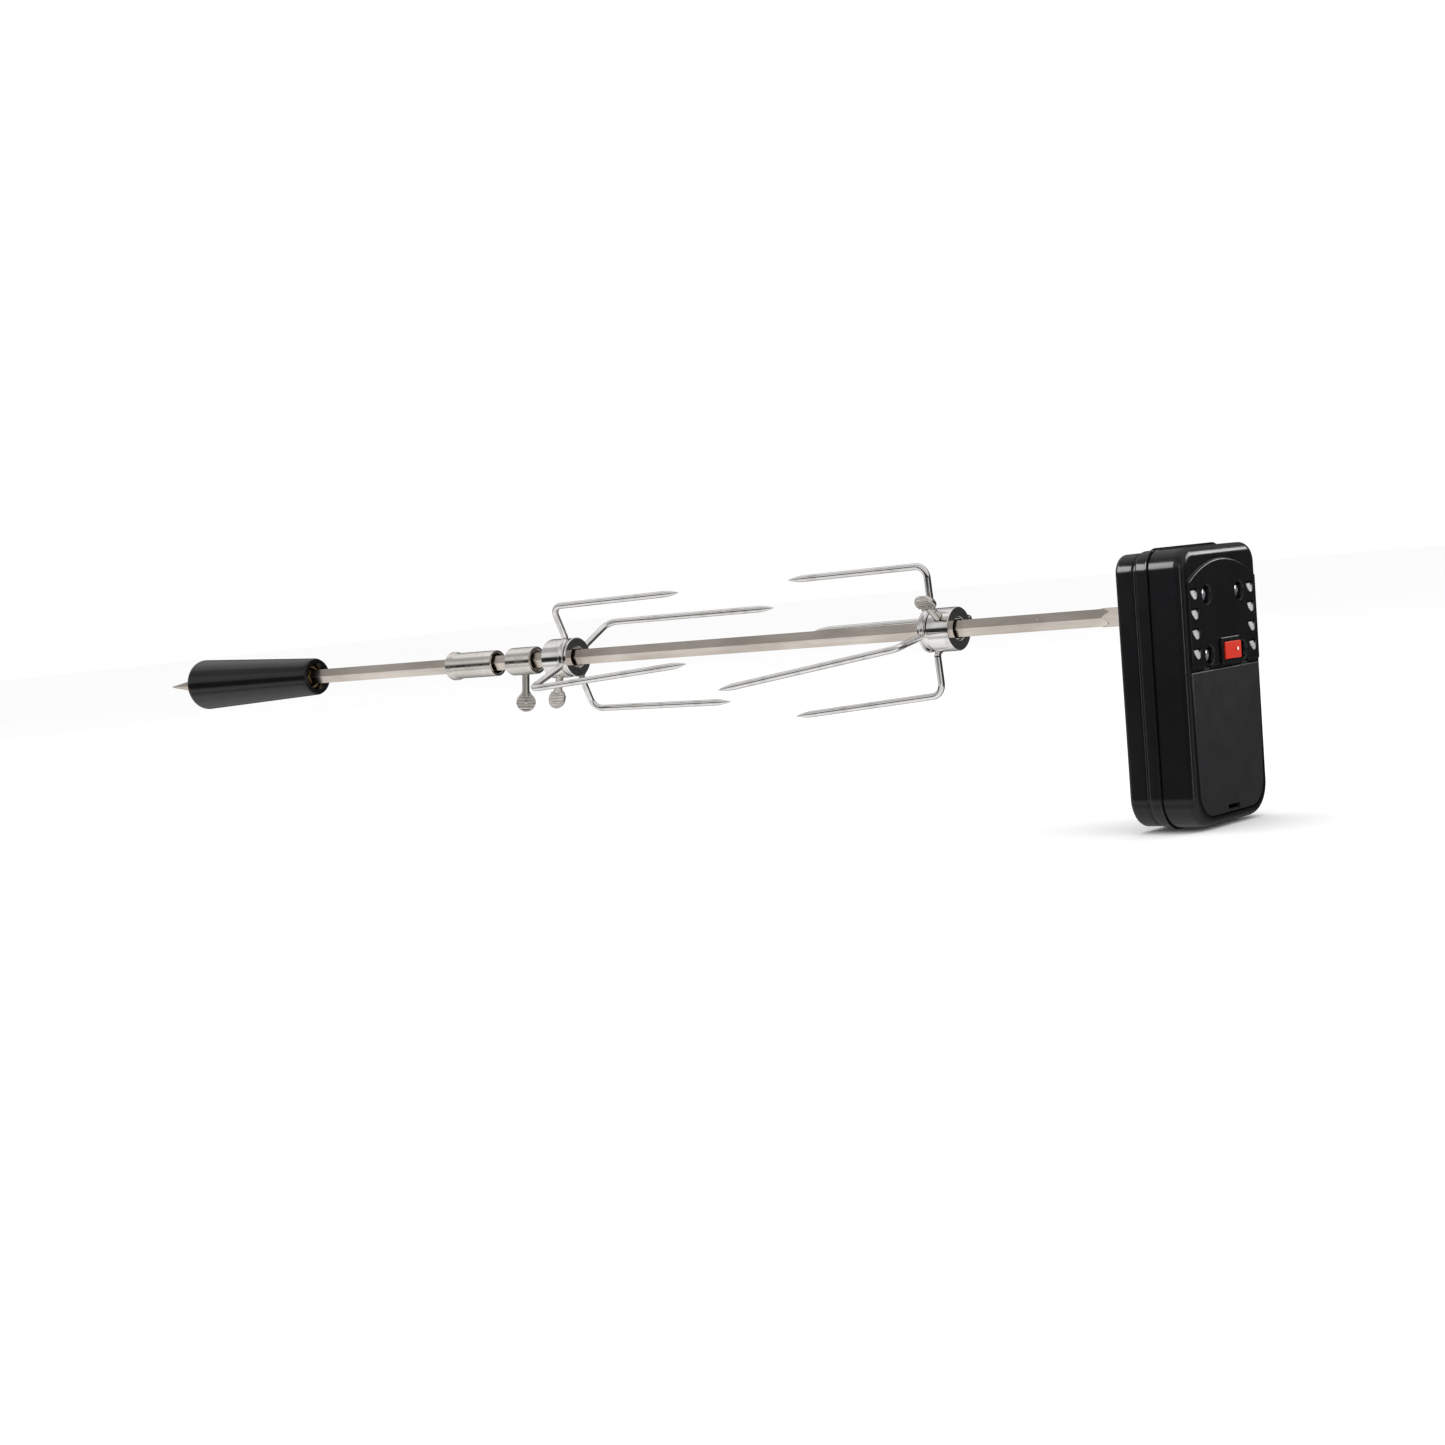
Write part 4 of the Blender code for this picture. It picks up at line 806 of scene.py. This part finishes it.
def make_bushing_skin():
    """The loose sleeve, with a flange at its handle end."""
    low, high = span("grill_bushing")
    flange = high.y
    edge = low.x + BUSHING_FLANGE
    line = [(high.x, BUSHING_BODY), (edge + 0.6 * MM, BUSHING_BODY), (edge, BUSHING_BODY + 0.5 * MM)]
    line += [(edge - 0.4 * MM, flange), (low.x + 1.4 * MM, flange)]
    line += [(low.x + 0.5 * MM, flange - 0.7 * MM), (low.x, flange - 1.1 * MM)]
    line += [(low.x, SLIDE_BORE), (high.x, SLIDE_BORE)]
    sleeve = turned_mesh(fillet(line, 0.45 * MM))
    stand_for(add_piece("grill_bushing_skin", sleeve), "grill_bushing")


def screw_axis(joint):
    """Where a thumb screw's axis meets the spit's, and its angle round the spit."""
    found = next(j for j in frame["joints"] if j["name"] == joint)
    axis = Vector(found["axis"])
    return found["pos_m"][0], atan2(axis.z, axis.y) * 180 / pi


def cut_screw_hole(piece, outer, joint):
    """A radial hole for a thumb screw, with a lead-in at the piece's outside."""
    x, angle = screw_axis(joint)
    hole = rod_mesh(radial(x, angle, 2 * MM), radial(x, angle, 18 * MM), SCREW_CLEARANCE, 32)
    cut(piece, "screw_hole", hole)
    start, end = radial(x, angle, outer - 0.4 * MM), radial(x, angle, outer + MM)
    cut(piece, "screw_lead_in", rod_mesh(start, end, SCREW_CLEARANCE, 32, SCREW_LEAD_IN))


def make_collar_skin():
    collar = add_piece("stop_collar_skin", turned_mesh(ring_profile("stop_collar", SLIDE_BORE, 0.9 * MM)))
    cut_screw_hole(collar, 9 * MM, "collar_screw_turn")
    stand_for(collar, "stop_collar", angle=45)


def make_thumb_screw(name, twist):
    """A round stem that flares into a flat, ribbed paddle; twist turns it about its own axis."""
    x, angle = screw_axis(f"{name}_turn")
    stem = rod_mesh((0, 0, 6 * MM), (0, 0, 24 * MM), STEM_RADIUS, 40)
    disc = disc_mesh(-PADDLE_HALF, PADDLE_HALF, PADDLE_RADIUS, 0.8 * MM, 64)
    upright = Matrix.Rotation(radians(90), 4, "Z")
    bmesh.ops.transform(disc, matrix=Matrix.Translation((0, 0, PADDLE_CENTRE)) @ upright, verts=disc.verts)
    flare = rod_mesh((0, 0, 19.5 * MM), (0, 0, 24.5 * MM), 2.3 * MM, 40, 5.2 * MM)
    for vert in flare.verts:
        if vert.co.z > 22 * MM:
            vert.co.y *= 0.23
    screw = add_piece(f"{name}_skin", stem)
    join(screw, "disc", disc)
    join(screw, "flare", flare)
    for rib in range(RIBS):
        height = (rib - (RIBS - 1) / 2) * RIB_PITCH
        reach = sqrt(PADDLE_RADIUS**2 - height**2) - 0.7 * MM
        level = PADDLE_CENTRE + height
        bar = rod_mesh((-reach, 0, level), (reach, 0, level), RIB_RADIUS, 16)
        for vert in bar.verts:
            vert.co.y *= (PADDLE_HALF + RIB_OUT) / RIB_RADIUS
        join(screw, "rib", bar)
    place = Matrix.Translation(radial(x, angle, 0)) @ Matrix.Rotation(radians(angle - 90), 4, "X")
    turn = place @ Matrix.Rotation(radians(twist), 4, "Z")
    for step in screw.modifiers:
        step.object.data.transform(turn)
    screw.data.transform(turn)
    stand_for(screw, name, soften=0.16 * MM, angle=50)


# Forks

HUB_LIP = 1.5 * MM
GROOVE = 4.6 * MM
GROOVE_RADIUS = 10.4 * MM
WIRE = 2 * MM
WRAP = GROOVE_RADIUS + GAP + WIRE
FILLET = 3.2 * MM
CORNER = 7 * MM
POINT = 13 * MM
TIP = 0.08
GRIND_STEPS = 12
BEND_STEPS = 12
FILLET_STEPS = 8
WRAP_STEPS = 12
# Each prong: its angle round the spit in degrees, its distance from it, its length, its point's rise
LEFT_WIRES = (
    ((114.8, 37, 104.5, 1.5), (200.3, 47.4, 129, 9)),
    ((-65.8, 37.7, 113, -0.8), (27.5, 42.8, 136, 0.2)),
)
RIGHT_WIRES = (
    ((95.6, 37.5, 99, -1), (190.2, 42, 130, -17)),
    ((-84.1, 37.9, 107.5, -7.9), (6.2, 42.4, 116, -0.8)),
)


def make_hub_skin(side, heading):
    """A turned hub: broad drum, deep groove for the wires, thin lip; returns the groove's middle."""
    low, high = span(f"{side}_fork_hub")
    heel, nose = (low.x, high.x) if heading > 0 else (high.x, low.x)
    outer = high.y
    lip = nose - heading * HUB_LIP
    back = lip - heading * GROOVE
    line = [(heel, outer), (back, outer), (back, GROOVE_RADIUS), (lip, GROOVE_RADIUS)]
    line += [(lip, outer), (nose, outer), (nose, SLIDE_BORE), (heel, SLIDE_BORE)]
    hub = add_piece(f"{side}_fork_hub_skin", turned_mesh(fillet(line, 0.7 * MM)))
    cut_screw_hole(hub, outer, f"{side}_fork_screw_turn")
    stand_for(hub, f"{side}_fork_hub", angle=45)
    return (lip + back) / 2


def prong_points(plane, heading, prong, turn):
    """(place, share of the wire's radius) from a prong's point to the hub, and the angle it meets it at.

    turn is the sense in which the wire goes on round the hub, +1 or -1 about X.
    """
    angle, radius, length, lift = prong
    across = radial(0, angle, 1)
    along = Vector((heading, 0, 0))
    rise = Vector((0, 0, lift * CORNER / length))
    tip = across * radius + along * length + Vector((0, 0, lift))
    bend_end = across * radius + along * CORNER + rise
    reach = (bend_end - tip).normalized()
    steps = [i / GRIND_STEPS for i in range(GRIND_STEPS + 1)]
    points = [(tip + reach * POINT * t, TIP + (1 - TIP) * sin(t * pi / 2) ** 0.9) for t in steps]
    points += [(tip.lerp(bend_end, t), 1) for t in (0.25, 0.5, 0.75, 0.95)]
    for step in range(BEND_STEPS + 1):
        t = step / BEND_STEPS
        a = t * pi / 2
        bend = radius - CORNER * (1 - cos(a))
        points.append((across * bend + along * CORNER * (1 - sin(a)) + rise * (1 - t), 1))
    middle = WRAP + FILLET
    offset = asin(FILLET / middle) * 180 / pi * turn
    centre = radial(0, angle + offset, middle)
    for step in range(FILLET_STEPS + 1):
        a = angle - turn * (90 + (90 - abs(offset)) * step / FILLET_STEPS)
        points.append((centre + radial(0, a, FILLET), 1))
    shift = Vector((plane, 0, 0))
    return [(place + shift, share) for place, share in points], angle + offset


def make_wire_skin(node, plane, heading, pair):
    """One bent wire: a ground point, in to the hub, a quarter round its groove, and out again."""
    first, first_angle = prong_points(plane, heading, pair[0], 1)
    second, second_angle = prong_points(plane, heading, pair[1], -1)
    sweep = second_angle - first_angle
    turns = [first_angle + sweep * i / WRAP_STEPS for i in range(1, WRAP_STEPS)]
    wrap = [(radial(plane, angle, WRAP), 1) for angle in turns]
    path = first + wrap + second[::-1]
    curve = bpy.data.curves.new(node, "CURVE")
    curve.dimensions = "3D"
    curve.bevel_depth = WIRE
    curve.bevel_resolution = 7
    curve.use_fill_caps = True
    spline = curve.splines.new("POLY")
    spline.points.add(len(path) - 1)
    for point, (place, share) in zip(spline.points, path):
        point.co = (*place, 1)
        point.radius = share
    guide = bpy.data.objects.new(node, curve)
    GUIDES.objects.link(guide)
    graph = bpy.context.evaluated_depsgraph_get()
    mesh = bpy.data.meshes.new_from_object(guide.evaluated_get(graph))
    bm = bmesh.new()
    bm.from_mesh(mesh)
    bmesh.ops.remove_doubles(bm, verts=bm.verts, dist=0.001 * MM)
    bpy.data.objects.remove(guide, do_unlink=True)
    stand_for(add_piece(f"{node}_skin", bm), node, angle=60)


def make_fork_skins():
    """Two forks that face each other: a hub and two wires each, with a prong at each wire's end."""
    for side, heading, wires in (("left", 1, LEFT_WIRES), ("right", -1, RIGHT_WIRES)):
        plane = make_hub_skin(side, heading)
        for letter, pair in zip("ab", wires):
            prongs = [(angle, *(size * MM for size in sizes)) for angle, *sizes in pair]
            make_wire_skin(f"{side}_fork_wire_{letter}", plane, heading, prongs)


# Camera, light and floor

# Degrees round the object from its front, above the horizon, and of roll
CAMERA_ANGLES = (39.7677, 9.4446, -5.53)
CAMERA_PLACE = (0.7011, -1.2701, 0.1031)
HOUSING_PIECES = ("rear_shell", "front_shell", "battery_door", "switch", "housing_screw")
# The studio seen in reflections: (degrees round the spit from the front toward the top, brightness)
STUDIO = (
    (-180, 0.04), (-160, 0.05), (-135, 0.4), (-112, 0.55), (-96, 0.8), (-50, 1.0), (-38, 0.5),
    (-20, 1.0), (-11, 0.03), (9, 0.02), (18, 0.7), (36, 0.72), (46, 0.42), (69, 0.43), (80, 0.88),
    (112, 0.85), (140, 0.5), (160, 0.08), (180, 0.04),
)
FLOOR_HALF = 9


def make_camera():
    azimuth, elevation, roll = (radians(angle) for angle in CAMERA_ANGLES)
    back = Vector((sin(azimuth) * cos(elevation), -cos(azimuth) * cos(elevation), sin(elevation)))
    right = Vector((cos(azimuth), sin(azimuth), 0))
    up = back.cross(right)
    across = right * cos(roll) + up * sin(roll)
    upward = up * cos(roll) - right * sin(roll)
    data = bpy.data.cameras.new("camera")
    data.sensor_width = 36
    data.lens = 64.71
    data.shift_x = 0.0242
    data.shift_y = 0.2007
    data.clip_start = 0.01
    data.clip_end = 60
    camera = bpy.data.objects.new("camera", data)
    turn = Matrix((across, upward, back)).transposed().to_4x4()
    camera.matrix_world = Matrix.Translation(CAMERA_PLACE) @ turn
    bpy.context.scene.collection.objects.link(camera)
    bpy.context.scene.camera = camera


def area_light(name, place, target, size, power):
    """A white rectangular light that is aimed at a point."""
    data = bpy.data.lights.new(name, "AREA")
    data.shape = "RECTANGLE"
    data.size, data.size_y = size
    data.energy = power
    light = bpy.data.objects.new(name, data)
    light.location = place
    aim = Vector(target) - Vector(place)
    light.rotation_euler = aim.to_track_quat("-Z", "Y").to_euler()
    bpy.context.scene.collection.objects.link(light)
    return light


def make_world():
    """White light all round; glossy surfaces see soft boxes and dark flags that run along the spit."""
    world = bpy.data.worlds.new("studio")
    world.use_nodes = True
    tree = world.node_tree
    coords = tree.nodes.new("ShaderNodeTexCoord")
    split = tree.nodes.new("ShaderNodeSeparateXYZ")
    tree.links.new(coords.outputs["Generated"], split.inputs["Vector"])
    frontward = tree.nodes.new("ShaderNodeMath")
    frontward.operation = "MULTIPLY"
    frontward.inputs[1].default_value = -1
    tree.links.new(split.outputs["Y"], frontward.inputs[0])
    around = tree.nodes.new("ShaderNodeMath")
    around.operation = "ARCTAN2"
    tree.links.new(split.outputs["Z"], around.inputs[0])
    tree.links.new(frontward.outputs["Value"], around.inputs[1])
    share = tree.nodes.new("ShaderNodeMapRange")
    share.inputs["From Min"].default_value = -pi
    share.inputs["From Max"].default_value = pi
    tree.links.new(around.outputs["Value"], share.inputs["Value"])
    bands = tree.nodes.new("ShaderNodeValToRGB")
    stops = bands.color_ramp.elements
    for angle, bright in STUDIO[1:-1]:
        stops.new((angle + 180) / 360).color = (bright, bright, bright, 1)
    for stop, (_, bright) in ((stops[0], STUDIO[0]), (stops[-1], STUDIO[-1])):
        stop.color = (bright, bright, bright, 1)
    tree.links.new(share.outputs["Result"], bands.inputs["Fac"])
    seen = tree.nodes.new("ShaderNodeLightPath")
    mixed = mix_colours(tree, seen.outputs["Is Glossy Ray"], (1, 1, 1), bands.outputs["Color"])
    tree.links.new(mixed, tree.nodes["Background"].inputs["Color"])
    bpy.context.scene.world = world


def light_housing_only(light):
    """The light reaches the housing's mouldings alone, so that it leaves the plated wires unburnt."""
    group = bpy.data.collections.new(f"{light.name}_group")
    for piece in PIECES.objects:
        if piece.name.startswith(HOUSING_PIECES):
            group.objects.link(piece)
    light.light_linking.receiver_collection = group


def make_studio():
    """A broad light above, and three that give the housing's black mouldings their highlights."""
    make_world()
    top = area_light("top_light", (-0.3, 0.1, 1.6), (-0.3, 0, 0), (2.6, 1.0), 10)
    top.visible_glossy = False
    light_housing_only(area_light("panel_light", (0.95, 1.25, 0.68), (0.04, 0, 0.06), (1.1, 0.55), 14))
    light_housing_only(area_light("corner_light", (-0.95, -0.95, 0.75), (0, 0, 0.1), (1.0, 0.7), 30))
    light_housing_only(area_light("strip_light", (1.25, -1.1, 0.1), (0, 0, 0), (0.1, 1.2), 2.5))
    bpy.context.scene.view_settings.view_transform = "Standard"


def make_floor():
    """A pale paper floor just under the object."""
    bm = bmesh.new()
    bmesh.ops.create_grid(bm, x_segments=24, y_segments=24, size=FLOOR_HALF)
    bmesh.ops.translate(bm, vec=(0, 0, CAD_BOX[0][2] - 0.5 * MM), verts=bm.verts)
    mesh = bpy.data.meshes.new("floor")
    bm.to_mesh(mesh)
    bm.free()
    floor = bpy.data.objects.new("floor", mesh)
    PIECES.objects.link(floor)
    made, tree, shader = shader_tree("floor_paper", (0.93, 0.93, 0.93), 0.7, Specular_IOR_Level=0.0)
    shade = ramp(tree, surface_noise(tree, 3), (0.96, 0.96, 0.96), (0.975, 0.975, 0.975))
    tree.links.new(shade, shader.inputs["Base Color"])
    mesh.materials.append(made)
    floor.visible_glossy = False


dress_frame()
make_rear_skin()
make_front_skin()
make_door_skin()
make_screw_heads()
make_switch_skin()
make_rocker_skin()
make_spit_skin()
make_handle_skins()
make_bushing_skin()
make_collar_skin()
make_thumb_screw("collar_screw", -40)
make_thumb_screw("left_fork_screw", -4)
make_thumb_screw("right_fork_screw", 3)
make_fork_skins()
make_camera()
make_studio()
make_floor()
